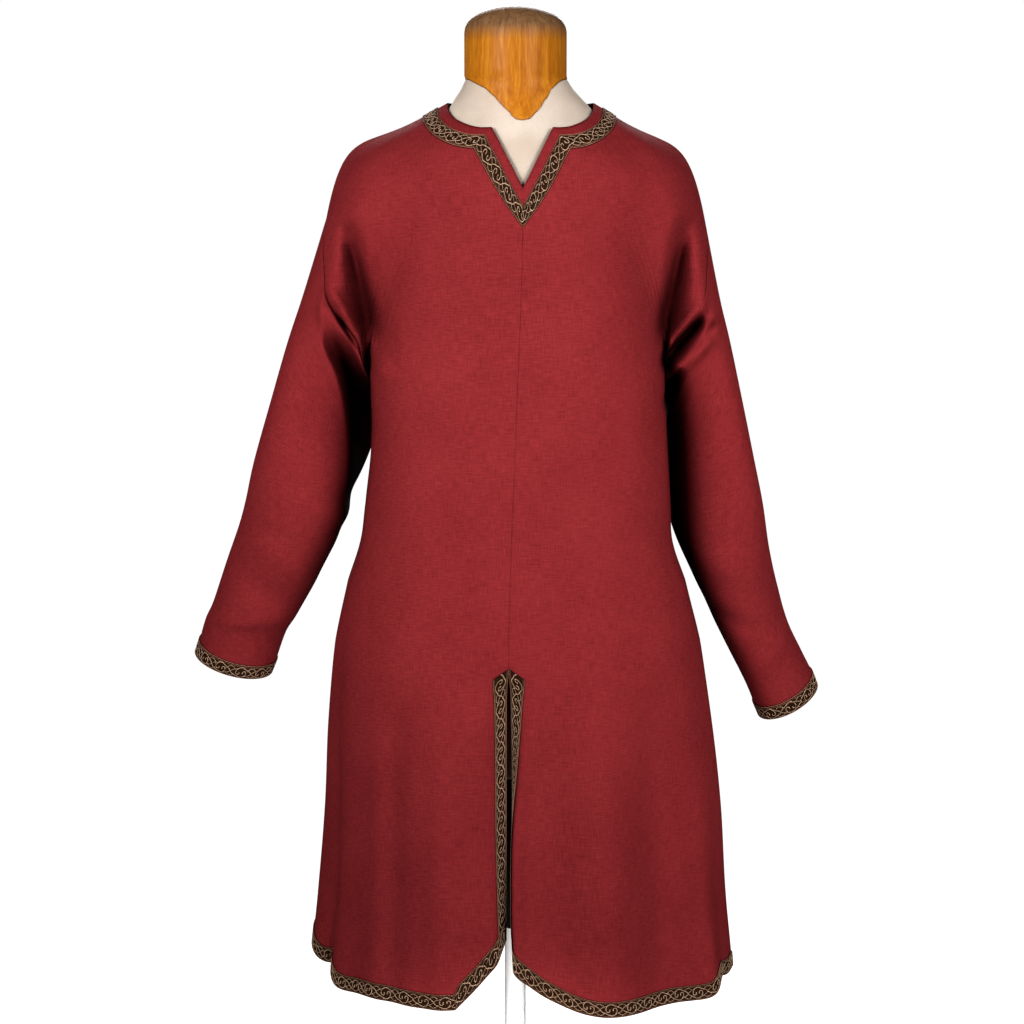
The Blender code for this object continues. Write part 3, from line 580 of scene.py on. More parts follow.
@dataclass(frozen=True)
class VarnishedWoodFinish(Finish):
    """Turned beech under clear varnish: honey brown with upright grain, darker pores and a
    duller, greyer end grain on top, all under a thin, soft coat."""

    name: str = "varnished_beech"
    colours: tuple[str, ...] = ("A0560C", "B86C12", "CC8220")
    places: Row = (0.34, 0.5, 0.66)
    gloss: Row = (0.5, 0.08, 0.05, 0.3)
    end_stops: tuple[tuple[float, str], ...] = ((0.36, "5F4129"), (0.62, "86603E"))
    grain: float = 0.006
    grain_length: float = 0.09
    wobble: float = 0.6
    pore: float = 0.0012
    pore_length: float = 0.015
    pore_share: float = 0.35
    top_z: float = 1.590
    top_blend: float = 0.009

    def pattern(self, tree: NodeTree) -> tuple[Socket, None]:
        """Upright grain, mixed with finer pores.

        Args:
            tree: The material's nodes.

        Returns:
            The tone, and no height.
        """
        place = add_node(tree, "ShaderNodeTexCoord").outputs["Object"]
        noises = []
        for width, length, settings in (
            (self.grain, self.grain_length, {"Detail": 3.0, "Distortion": self.wobble}),
            (self.pore, self.pore_length, {"Detail": 1.0}),
        ):
            scale = {"Scale": (1 / width, 1 / width, 1 / length)}
            spot = add_node(tree, "ShaderNodeMapping", scale, {"Vector": place}).outputs[0]
            settings["Scale"] = 1.0
            noise = add_node(tree, "ShaderNodeTexNoise", settings, {"Vector": spot})
            noises.append(noise.outputs["Fac"])
        settings = {"Factor": self.pore_share}
        tone = add_node(tree, "ShaderNodeMix", settings, dict(zip("AB", noises)))
        return tone.outputs["Result"], None

    def colour(self, tree: NodeTree, tone: Socket) -> Socket:
        """The side's colours, which give way to those of the end grain round top_z.

        Args:
            tree: The material's nodes.
            tone: The pattern's tone.

        Returns:
            The colour.
        """
        side = super().colour(tree, tone)
        end = add_node(tree, "ShaderNodeValToRGB", {"stops": self.end_stops}, {"Fac": tone})
        place = add_node(tree, "ShaderNodeTexCoord").outputs["Object"]
        height = add_node(tree, "ShaderNodeSeparateXYZ", links={0: place}).outputs["Z"]
        limits = {
            "From Min": self.top_z - self.top_blend,
            "From Max": self.top_z + self.top_blend,
        }
        share = add_node(tree, "ShaderNodeMapRange", limits, {"Value": height})
        links = {"Factor": share.outputs["Result"], 6: side, 7: end.outputs["Color"]}
        return add_node(tree, "ShaderNodeMix", {"data_type": "RGBA"}, links).outputs[2]


@dataclass(frozen=True)
class LacquerFinish(Finish):
    """Powder-coated steel, white and satin, with the faint orange peel of the baked coat; its black
    and matt copy is painted shade, put on the pole where the skirt hides it."""

    name: str = "white_powder_coated_steel"
    colours: tuple[str, ...] = ("F2F2F0", "FAFAF8")
    places: Row = (0.3, 0.7)
    bump: Row = (0.15, 0.0002)
    gloss: Row = (0.35, 0.5)
    peel: float = 0.003

    def pattern(self, tree: NodeTree) -> tuple[Socket, Socket]:
        """The peel, for both the tone and the relief.

        Args:
            tree: The material's nodes.

        Returns:
            The tone and the height.
        """
        place = add_node(tree, "ShaderNodeTexCoord").outputs["Object"]
        settings = {"Scale": 1 / self.peel, "Detail": 1.0}
        peel = add_node(tree, "ShaderNodeTexNoise", settings, {"Vector": place}).outputs["Fac"]
        return peel, peel


# ---- the tunic's surfaces


@dataclass(frozen=True)
class Creases:
    """Creases of the armholes, chest and skirt, pushed towards the front or back.

    A crease runs from one (x, z) to another, with a height towards the viewer of that face
    (a trough's is negative) and a half width.
    """

    end_y: float = 0.010
    fine_end_y: float = 0.045
    fade: float = 0.045
    # x, z, x, z, height, half width: the armhole folds, at full height all along
    arm: Rows = (
        (0.2187, 1.282, 0.1710, 1.229, 0.009, 0.010),
        (0.2010, 1.374, 0.1823, 1.248, -0.006, 0.013),
        (0.2168, 1.268, 0.1754, 1.212, -0.008, 0.008),
        (0.2122, 1.246, 0.1780, 1.182, 0.005, 0.009),
        (0.1930, 1.199, 0.1850, 1.145, -0.005, 0.008),
        (-0.2064, 1.298, -0.1524, 1.208, 0.008, 0.010),
        (-0.1880, 1.362, -0.1580, 1.242, -0.006, 0.013),
        (-0.2076, 1.286, -0.1730, 1.174, 0.005, 0.009),
        (-0.1880, 1.242, -0.1700, 1.140, -0.007, 0.009),
    )
    # the finer creases, which taper towards both ends
    front: Rows = (
        (-0.193, 1.385, -0.168, 1.236, -0.027, 0.0110),
        (-0.218, 1.313, -0.163, 1.220, 0.010, 0.0050),
        (-0.211, 1.292, -0.165, 1.202, -0.014, 0.0040),
        (-0.198, 1.277, -0.164, 1.186, 0.010, 0.0050),
        (0.194, 1.390, 0.171, 1.228, -0.032, 0.0112),
        (0.218, 1.291, 0.167, 1.226, 0.010, 0.0060),
        (0.219, 1.274, 0.166, 1.207, -0.040, 0.0075),
        (0.214, 1.259, 0.169, 1.189, 0.006, 0.0070),
        (0.191, 1.211, 0.172, 1.159, -0.030, 0.0060),
        (-0.137, 0.880, -0.142, 0.340, -0.009, 0.0180),
        (-0.088, 0.860, -0.085, 0.340, 0.006, 0.0160),
        (0.100, 0.880, 0.115, 0.340, 0.010, 0.0300),
        (0.155, 0.860, 0.170, 0.340, -0.008, 0.0200),
        (0.016, 0.900, 0.014, 0.340, -0.013, 0.0190),
        (-0.026, 0.890, -0.030, 0.340, -0.010, 0.0170),
        (0.234, 0.860, 0.260, 0.340, 0.028, 0.0230),
        (0.042, 0.880, 0.048, 0.340, -0.010, 0.0220),
    )
    back: Rows = (
        (-0.196, 1.372, -0.164, 1.235, -0.024, 0.011),
        (-0.212, 1.300, -0.165, 1.222, 0.008, 0.006),
        (-0.209, 1.288, -0.165, 1.205, -0.020, 0.007),
        (0.204, 1.370, 0.172, 1.228, -0.026, 0.010),
        (0.216, 1.276, 0.168, 1.214, 0.009, 0.006),
        (0.214, 1.262, 0.168, 1.196, -0.028, 0.007),
        (-0.105, 0.900, -0.130, 0.340, -0.009, 0.0200),
        (-0.030, 0.930, -0.045, 0.340, 0.010, 0.0280),
        (0.060, 0.900, 0.050, 0.340, -0.010, 0.0220),
        (0.145, 0.880, 0.160, 0.340, 0.008, 0.0240),
    )

    def facing(self, y: Array, end_y: float) -> Array:
        """How far points lie on the front: 0 behind the end, 1 in front of its fade."""
        return smooth_step((end_y - y) / self.fade)

    def push(self, points: Array, table: Rows, tapered: bool) -> Array:
        """Sums the heights of a table's creases: height * bell(distance / width) * taper.

        The taper is ease(4 s (1 - s)) at a share s of the crease's length.

        Args:
            points: Points of the cloth.
            table: The creases.
            tapered: Whether each height falls to nothing at both ends.

        Returns:
            The height at each point.
        """
        flat = points[..., [0, 2]]
        total = np.zeros(points.shape[:-1])
        for x0, z0, x1, z1, height, width in table:
            start = np.array((x0, z0))
            along = np.array((x1, z1)) - start
            share = np.clip(((flat - start) @ along) / (along @ along), 0.0, 1.0)
            away = np.linalg.norm(flat - (start + share[..., None] * along), axis=-1)
            taper = smooth_step(4.0 * share * (1.0 - share)) if tapered else 1.0
            total += height * taper * bell(away, width)
        return total

    def arm_folds(self, points: Array) -> Array:
        """Points with the armhole folds pushed forward.

        Args:
            points: On the body.

        Returns:
            The moved points.
        """
        moved = points.copy()
        y = points[..., 1]
        moved[..., 1] -= self.push(points, self.arm, False) * self.facing(y, self.end_y)
        return moved

    def fine(self, points: Array) -> Array:
        """Points with the finer creases of both faces.

        Args:
            points: On the body.

        Returns:
            The moved points.
        """
        moved = points.copy()
        y = points[..., 1]
        moved[..., 1] -= self.push(points, self.front, True) * self.facing(y, self.fine_end_y)
        moved[..., 1] += self.push(points, self.back, True) * self.facing(-y, -self.end_y)
        return moved


@dataclass(frozen=True)
class BodyCut:
    """The body's surface: at(column, row, side, face).

    Columns run from 0 at the centre to 14 at the side seam, and on above the armpit to 24 at
    the shoulder seam. Rows run 0 neck edge, 1 and 2 the neck braid's edges, 10 armpit and
    armhole, 17 top of the slit, 26 upper edge of the hem braid, 27 hem.
    """

    braid_width: float = 0.0175
    armpit_z: float = 1.200
    slit_top_z: float = 0.879
    slit_point: float = 0.013
    hem_z: float = 0.4955
    side_seam_y: float = 0.008
    ring_columns: float = 14.0
    columns: float = 24.0
    corner_column: float = 12.0
    # the braids' share of the grid: columns beside the slit and rows round the neck
    braid_columns: float = 2.0
    band_rows: float = 2.0
    yoke_rows: float = 10.0
    slit_row: float = 17.0
    braid_row: float = 26.0
    hem_row: float = 27.0
    # how far a row of the skirt is first taken to fall, before the passes that settle it
    first_fall: float = 0.04
    settling_passes: int = 4
    slope_step: float = 0.002
    fold_growth: float = 1.3
    fold_most: float = 1.2
    # the middle of the front, the side seam, the middle of the back, on -X and +X
    hem_levels: Rows = ((0.498, 0.500, 0.496), (0.492, 0.486, 0.496))
    # side, place, rise, width
    hem_rises: Rows = (
        (-1, 1.00, 0.032, 0.12), (-1, 0.76, 0.018, 0.06), (-1, 0.66, -0.006, 0.13),
        (1, 0.62, -0.002, 0.10), (1, 0.76, 0.018, 0.09), (1, 0.92, 0.016, 0.08),
    )
    # rise, run and curve of the corners at the slit, on -X and +X
    corners: Rows = ((0.071, 0.069, 1.0), (0.070, 0.115, 2.2))
    hem_half_width: Row = (0.240, 0.258)
    turn_reach: float = 0.034
    turn_bend: float = 0.48
    turn_steps: int = 16
    slit_clearance: float = 0.0048
    closing_reach: float = 0.12
    # the bridge over the valley: its reach, its bell's share of that, its samples, and the rows
    # over which it starts below the braid and ends above the armpit
    bridge_columns: float = 5.5
    bridge_bell: float = 0.7
    bridge_samples: int = 13
    bridge_start: float = 1.5
    bridge_end: float = 1.0
    # depth of the seams at the armhole and the centre, their half width, and the fade of the
    # armhole's towards the shoulder seam in columns
    groove: float = 0.0008
    centre_groove: float = 0.00045
    groove_half: float = 0.0020
    groove_fade: float = 3.0
    row_length: float = 0.020
    lean_half_width: float = 0.17
    lean_front: Row = (0.05, 0.06)
    lean_collar: Row = (1.30, 0.17)
    # pull of the yoke's rays at both ends: at the centre, and what the shoulder adds
    ray_start: Row = (1.0, 0.45)
    ray_end: Row = (0.9, 1.15)
    ray_power: int = 3
    # height, half width on -X, half width on +X, front depth, back depth, squareness
    table: Rows = (
        (1.200, 0.1690, 0.1740, 0.130, 0.124, 2.7), (1.120, 0.1687, 0.1780, 0.131, 0.122, 2.6),
        (1.050, 0.1763, 0.1823, 0.132, 0.122, 2.5), (1.005, 0.1826, 0.1850, 0.134, 0.125, 2.4),
        (0.957, 0.1980, 0.2010, 0.138, 0.130, 2.3), (0.885, 0.2130, 0.2190, 0.146, 0.138, 2.2),
        (0.788, 0.2210, 0.2330, 0.160, 0.150, 2.1), (0.691, 0.2240, 0.2430, 0.173, 0.160, 2.1),
        (0.592, 0.2305, 0.2485, 0.187, 0.170, 2.2), (0.480, 0.2390, 0.2580, 0.201, 0.179, 2.3),
    )
    # side, place round the ring (0 front, 1 side seam, 2 back), height at the hem, width, start
    folds: Rows = (
        (-1, 0.34, 0.007, 0.11, 0.95), (-1, 0.58, -0.006, 0.09, 0.90),
        (-1, 0.80, -0.017, 0.055, 0.93), (-1, 0.93, 0.008, 0.07, 0.95),
        (1, 0.30, 0.007, 0.11, 0.95), (1, 0.52, -0.005, 0.08, 0.90),
        (1, 0.66, 0.006, 0.07, 0.92), (1, 0.82, -0.004, 0.060, 0.90),
        (1, 0.95, 0.002, 0.07, 0.95), (-1, 1.22, -0.010, 0.08, 0.92),
        (-1, 1.48, 0.009, 0.10, 0.98), (-1, 1.74, -0.010, 0.09, 0.95),
        (1, 1.25, -0.009, 0.08, 0.90), (1, 1.52, 0.008, 0.11, 0.98),
        (1, 1.79, -0.009, 0.08, 0.95), (1, 2.00, 0.010, 0.12, 1.00),
        (-1, 2.00, 0.010, 0.12, 1.00),
    )
    # height and how far the centre front lies towards +X there
    centre: Rows = (
        (1.50, 0.0080), (1.35, 0.0078), (1.19, 0.0020),
        (0.94, -0.0068), (0.88, -0.0078), (0.48, -0.0068),
    )
    # height, turn of the slit edge on -X, turn on +X, in degrees
    slit_turns: Rows = (
        (0.879, 0.0, 0.0), (0.845, 35.0, 40.0), (0.76, 43.0, 72.0), (0.69, 45.0, 94.0),
        (0.60, 56.0, 98.0), (0.54, 66.0, 90.0), (0.48, 66.0, 80.0),
    )
    # edge x, y, z, braid's inner edge x, y, z, braid's outer edge x, y, z
    front_neck: Rows = (
        (0.0000, -0.100, 1.4153, 0.0000, -0.108, 1.3915, 0.0000, -0.113, 1.3715),
        (0.0089, -0.095, 1.4330, 0.0120, -0.102, 1.4130, 0.0160, -0.108, 1.3925),
        (0.0173, -0.089, 1.4497, 0.0228, -0.095, 1.4330, 0.0310, -0.102, 1.4160),
        (0.0258, -0.081, 1.4664, 0.0330, -0.087, 1.4530, 0.0430, -0.094, 1.4380),
        (0.0343, -0.070, 1.4833, 0.0432, -0.078, 1.4726, 0.0544, -0.087, 1.4588),
        (0.0490, -0.064, 1.4836, 0.0590, -0.073, 1.4731, 0.0700, -0.084, 1.4605),
        (0.0622, -0.054, 1.4872, 0.0740, -0.063, 1.4773, 0.0870, -0.074, 1.4668),
        (0.0753, -0.036, 1.4940, 0.0870, -0.043, 1.4853, 0.1010, -0.053, 1.4768),
        (0.0826, -0.016, 1.5030, 0.0950, -0.020, 1.4960, 0.1090, -0.027, 1.4885),
        (0.0843, 0.008, 1.5130, 0.0965, 0.008, 1.5060, 0.1115, 0.008, 1.4970),
    )
    corner_row: int = 4
    back_neck: Rows = (
        (0.0000, 0.068, 1.5100, 0.0000, 0.073, 1.4990, 0.0000, 0.080, 1.4825),
        (0.0240, 0.067, 1.5104, 0.0270, 0.072, 1.4994, 0.0310, 0.079, 1.4830),
        (0.0460, 0.061, 1.5112, 0.0520, 0.066, 1.5004, 0.0600, 0.074, 1.4850),
        (0.0640, 0.049, 1.5122, 0.0730, 0.054, 1.5018, 0.0840, 0.061, 1.4880),
        (0.0770, 0.031, 1.5128, 0.0880, 0.034, 1.5040, 0.1020, 0.039, 1.4925),
        (0.0843, 0.008, 1.5130, 0.0965, 0.008, 1.5060, 0.1115, 0.008, 1.4970),
    )
    # armpit up to the top of the armhole: x, y, z and the direction in which the cloth arrives
    armhole_front: Rows = (
        (0.1750, -0.030, 1.213, 0.10, 0.25, -0.96), (0.1840, -0.049, 1.243, 0.35, 0.30, -0.88),
        (0.2140, -0.053, 1.286, 0.50, 0.45, -0.74), (0.2190, -0.045, 1.318, 0.45, 0.55, -0.70),
        (0.2215, -0.022, 1.354, 0.30, 0.35, -0.88), (0.2195, 0.006, 1.3810, 0.20, 0.00, -0.98),
    )
    armhole_back: Rows = (
        (0.1755, 0.046, 1.213, 0.10, -0.25, -0.96), (0.1850, 0.064, 1.243, 0.35, -0.30, -0.88),
        (0.2120, 0.066, 1.286, 0.50, -0.45, -0.74), (0.2185, 0.056, 1.322, 0.45, -0.55, -0.70),
        (0.2215, 0.033, 1.356, 0.30, -0.35, -0.88), (0.2195, 0.006, 1.3810, 0.20, 0.00, -0.98),
    )
    creases: Creases = Creases()

    def ring(self, place: Array, z: Array, side: Side) -> tuple[Array, Array]:
        """Superellipse with folds.

        x = w |sin a|^p + f sin a and y = y0 - (d + y0) |cos a|^p - f cos a.

        Args:
            place: 0 at the centre front, 1 at the side seam, 2 at the centre back.
            z: Height.
            side: Side of the object.

        Returns:
            The distance from the middle plane and y.
        """
        values = by_height(self.table, z)
        width = values[..., side.of(0, 1)]
        depth = np.where(place <= 1.0, values[..., 2], values[..., 3])
        power = 2.0 / values[..., 4]
        angle = place * math.pi / 2
        across = np.abs(np.sin(angle)) ** power
        along = np.sign(np.cos(angle)) * np.abs(np.cos(angle)) ** power
        push = np.zeros_like(across)
        for fold_side, fold_place, height, fold_width, start_z in self.folds:
            if fold_side == side.value:
                fallen = (start_z - z) / (start_z - self.hem_z)
                growth = np.clip(fallen, 0.0, self.fold_most) ** self.fold_growth
                push += height * growth * bell(place - fold_place, fold_width)
        x = width * across + push * np.sin(angle)
        y = self.side_seam_y - (depth + self.side_seam_y) * along - push * np.cos(angle)
        return x, y

    def places(self, column: Array, z: Array, side: Side) -> Array:
        """Places round the front quarter of the ring, the first columns a braid's width in all.

        Args:
            column: Columns.
            z: Height.
            side: Side of the object.

        Returns:
            The places, 0 at the centre and 1 at the side seam.
        """
        values = by_height(self.table, z)
        half = values[..., side.of(0, 1)]
        near = np.clip(column / self.braid_columns, 0.0, 1.0)
        beyond = column - self.braid_columns
        steps = np.clip(beyond / (self.ring_columns - self.braid_columns), 0.0, 1.0)
        sine = (near * self.braid_width / half) ** (values[..., 4] / 2.0)
        first = np.arcsin(sine) / (math.pi / 2)
        return first + (1.0 - first) * steps

    def turn_in(self, x: Array, y: Array, z: Array, side: Side) -> tuple[Array, Array]:
        """Turns the slit edge inwards by summing short steps of a growing angle.

        Args:
            x: Distance from the middle plane.
            y: Depth.
            z: Height.
            side: Side of the object.

        Returns:
            The turned x and y, moved so that the fold leaves the slit open by its clearance.
        """
        turns = by_height(self.slit_turns, np.minimum(z, self.slit_turns[0][0]))
        most = np.radians(turns[..., side.of(0, 1)])
        start = np.minimum(x, self.turn_reach)
        step = (self.turn_reach - start) / self.turn_steps
        whole_step = self.turn_reach / self.turn_steps
        run, back, whole_run = np.zeros_like(x), np.zeros_like(x), np.zeros_like(x)
        bend = self.turn_bend * self.turn_reach
        for count in range(self.turn_steps):
            left = self.turn_reach - start - (count + 0.5) * step
            angle = most * smooth_step(left / bend)
            run += step * np.cos(angle)
            back += step * np.sin(angle)
            whole_left = self.turn_reach - (count + 0.5) * whole_step
            whole_run += whole_step * np.cos(most * smooth_step(whole_left / bend))
        inside = x < self.turn_reach
        gap = self.slit_clearance * np.sin(most)
        closing = (self.turn_reach - whole_run - gap) * bell(x, self.closing_reach)
        turned_x = np.where(inside, self.turn_reach - run, x) - closing
        return turned_x, np.where(inside, y + back, y)

    def hem_height(self, x: Array, place: Array, side: Side, face: Face) -> Array:
        """Height of the hem: a parabola, the slit's rounded corner and a bell for each rise.

        Args:
            x: Distance from the middle plane.
            place: Place round the ring.
            side: Side of the object.
            face: Front or back.

        Returns:
            The height.
        """
        number = side.of(0, 1)
        front_middle, seam, back_middle = self.hem_levels[number]
        middle = face.of(front_middle, back_middle)
        level = middle + (seam - middle) * (x / self.hem_half_width[number]) ** 2
        if face is Face.FRONT:
            rise, run, curve = self.corners[number]
            level = level + rise * np.clip(1.0 - x / run, 0.0, 1.0) ** curve
        for rise_side, rise_place, height, width in self.hem_rises:
            if rise_side == side.value:
                level = level + height * bell(place - rise_place, width)
        return level

    def height(self, row: Array, x: Array, place: Array, side: Side, face: Face) -> Array:
        """Height of a row below the armpit, straight between its marked rows.

        Args:
            row: Rows.
            x: Distance from the middle plane.
            place: Place round the ring.
            side: Side of the object.
            face: Front or back.

        Returns:
            The height, the hem braid's upper edge lying its width off the sloping hem.
        """
        top = self.slit_top_z - self.slit_point * np.minimum(x / self.braid_width, 1.0)
        hem = self.hem_height(x, place, side, face)
        slope = (self.hem_height(x + self.slope_step, place, side, face) - hem) / self.slope_step
        braid = hem + self.braid_width * np.sqrt(1.0 + slope**2)
        chest = (row - self.yoke_rows) / (self.slit_row - self.yoke_rows)
        skirt = (row - self.slit_row) / (self.braid_row - self.slit_row)
        upper = self.armpit_z + (top - self.armpit_z) * chest
        level = np.where(row <= self.slit_row, upper, top + (braid - top) * skirt)
        return np.where(row > self.braid_row, braid + (hem - braid) * (row - self.braid_row), level)

    def skirt(self, column: Array, row: Array, side: Side, face: Face) -> Array:
        """Body below the armpit, before it takes its side: a few passes settle the height.

        Args:
            column: Columns.
            row: Rows.
            side: Side of the object.
            face: Front or back.

        Returns:
            The points.
        """
        z = self.armpit_z - self.first_fall * (row - self.yoke_rows)
        for _ in range(self.settling_passes):
            place = self.places(column, z, side)
            place = face.of(place, 2.0 - place)
            x, y = self.ring(place, z, side)
            z = self.height(row, x, place, side, face)
        x, y = self.ring(place, z, side)
        if face is Face.FRONT:
            x, y = self.turn_in(x, y, z, side)
        return np.stack((x, y, z), axis=-1)

    def neck(self, column: Array, face: Face) -> Array:
        """Neck edge and braid edges at each column, the front's table with a corner in it.

        Args:
            column: Columns.
            face: Front or back.

        Returns:
            The nine coordinates of the three edges.
        """
        if face is Face.BACK:
            return through(self.back_neck, (len(self.back_neck) - 1) * column / self.columns)
        corner = self.corner_row
        beyond = (column - self.corner_column) / (self.columns - self.corner_column)
        collar_rows = len(self.front_neck) - 1 - corner
        slope = through(self.front_neck[: corner + 1], corner * column / self.corner_column)
        collar = through(self.front_neck[corner:], collar_rows * beyond)
        return np.where((column <= self.corner_column)[..., None], slope, collar)

    def goals(self, column: Array, side: Side, face: Face) -> Array:
        """Where each column of the yoke ends, on the armpit ring or the armhole.

        Args:
            column: Columns.
            side: Side of the object.
            face: Front or back.

        Returns:
            The three coordinates, and the direction in which the cloth arrives.
        """
        ring_column = np.minimum(column, self.ring_columns)
        z = np.full(column.shape, self.armpit_z)
        place = self.places(ring_column, z, side)
        x, y = self.ring(face.of(place, 2.0 - place), z, side)
        ring = np.stack((x, y, z, 0.0 * z, 0.0 * z, 0.0 * z - 1.0), axis=-1)
        end_x, end_y = self.ring(np.array(1.0), np.array(self.armpit_z), side)
        armpit = np.array((float(end_x), float(end_y), self.armpit_z, 0.0, 0.0, -1.0))
        armhole = np.vstack((armpit, face.of(self.armhole_front, self.armhole_back)))
        share = (column - self.ring_columns) / (self.columns - self.ring_columns)
        seam = through(armhole, (len(armhole) - 1) * np.clip(share, 0.0, 1.0))
        return np.where((column < self.ring_columns)[..., None], ring, seam)

    def yoke(self, column: Array, row: Array, side: Side, face: Face) -> Array:
        """Body above the armpit, before it takes its side: straight bands, then cubic rays.

        Args:
            column: Columns.
            row: Rows.
            side: Side of the object.
            face: Front or back.

        Returns:
            The points.
        """
        neck = self.neck(column, face)
        edge, inner, outer = neck[..., :3], neck[..., 3:6], neck[..., 6:9]
        goals = self.goals(column, side, face)
        goal = goals[..., :3]
        length = np.linalg.norm(goal - outer, axis=-1, keepdims=True)
        shoulder = ((column / self.columns) ** self.ray_power)[..., None]
        leave = unit(outer - edge) * length * (self.ray_start[0] + self.ray_start[1] * shoulder)
        arrive = unit(goals[..., 3:]) * length * (self.ray_end[0] + self.ray_end[1] * shoulder)
        row = row[..., None]
        t = np.clip((row - self.band_rows) / (self.yoke_rows - self.band_rows), 0.0, 1.0)
        second = inner + (outer - inner) * (row - 1.0)
        band = np.where(row < 1.0, edge + (inner - edge) * row, second)
        return np.where(row < self.band_rows, band, cubic(t, outer, leave, goal, arrive))

    def finished(self, points: Array, side: Side) -> Array:
        """Points on their side, with the armhole folds and the lean of the centre front.

        Args:
            points: On the plain half.
            side: Side of the object.

        Returns:
            The finished points.
        """
        points = self.creases.arm_folds(points * np.array((side.value, 1.0, 1.0)))
        shift = by_height(self.centre, points[..., 2])[..., 0]
        share = np.clip(1.0 - (points[..., 0] / self.lean_half_width) ** 2, 0.0, 1.0)
        front = smooth_step((self.lean_front[0] - points[..., 1]) / self.lean_front[1])
        collar = smooth_step((points[..., 2] - self.lean_collar[0]) / self.lean_collar[1])
        points[..., 0] += shift * share * (1.0 - (1.0 - front) * (1.0 - collar))
        return points

    def base(self, column: Array, row: Array, side: Side, face: Face) -> Array:
        """The solid's own surface: the yoke down to its last row, the skirt below.

        Args:
            column: Columns, in a shape that goes with the rows'.
            row: Rows.
            side: Side of the object.
            face: Front or back.

        Returns:
            The points.
        """
        column, row = np.broadcast_arrays(np.asarray(column, float), np.asarray(row, float))
        above = self.yoke(column, np.minimum(row, self.yoke_rows), side, face)
        ring_column = np.minimum(column, self.ring_columns)
        below = self.skirt(ring_column, np.maximum(row, self.yoke_rows), side, face)
        return self.finished(np.where((row <= self.yoke_rows)[..., None], above, below), side)

    def bridged(self, column: Array, row: Array, side: Side, face: Face) -> Array:
        """The solid's own surface, its valley from the neck to the armpit bridged by taut cloth.

        Each point moves to the weighted mean of its neighbours across the columns, most of all in
        the valley and not next to the braid, the armhole or the shoulder seam.

        Args:
            column: Columns.
            row: Rows.
            side: Side of the object.
            face: Front or back.

        Returns:
            The points.
        """
        points = self.base(column, row, side, face)
        shifts = np.linspace(-1.0, 1.0, self.bridge_samples) * self.bridge_columns
        weights = bell(shifts, self.bridge_bell * self.bridge_columns)
        mean = np.zeros(points.shape)
        for shift, weight in zip(shifts, weights / weights.sum()):
            beside = np.clip(column + shift, 0.0, self.columns)
            mean += weight * self.base(beside, row, side, face)
        share = smooth_step((row - self.band_rows) / self.bridge_start)
        share = share * smooth_step((self.yoke_rows - row) / self.bridge_end)
        share *= smooth_step((self.columns - column) / self.bridge_columns)
        share *= bell(column - self.ring_columns, self.bridge_columns)
        return points + share[..., None] * (mean - points)

    def at(self, column: Array, row: Array, side: Side, face: Face) -> Array:
        """The dressed surface: the solid's own, bridged, with the finer creases and seam grooves.

        Args:
            column: Columns, in a shape that goes with the rows'.
            row: Rows.
            side: Side of the object.
            face: Front or back.

        Returns:
            The points.
        """
        column, row = np.broadcast_arrays(np.asarray(column, float), np.asarray(row, float))
        upper = float(row.min()) < self.yoke_rows
        points = (self.bridged if upper else self.base)(column, row, side, face)
        inward = np.zeros(row.shape)
        if face is Face.FRONT:
            below_neck = (row > self.band_rows) * (row < self.slit_row)
            away = column * self.braid_width / self.braid_columns
            inward += self.centre_groove * (bell(away, self.groove_half) * below_neck)
        armhole = bell((self.yoke_rows - row) * self.row_length, self.groove_half)
        armhole *= (column > self.ring_columns) * (row <= self.yoke_rows)
        armhole *= smooth_step((self.columns - column) / self.groove_fade)
        inward += self.groove * armhole
        points[..., 1] += face.of(inward, -inward)
        return self.creases.fine(points)


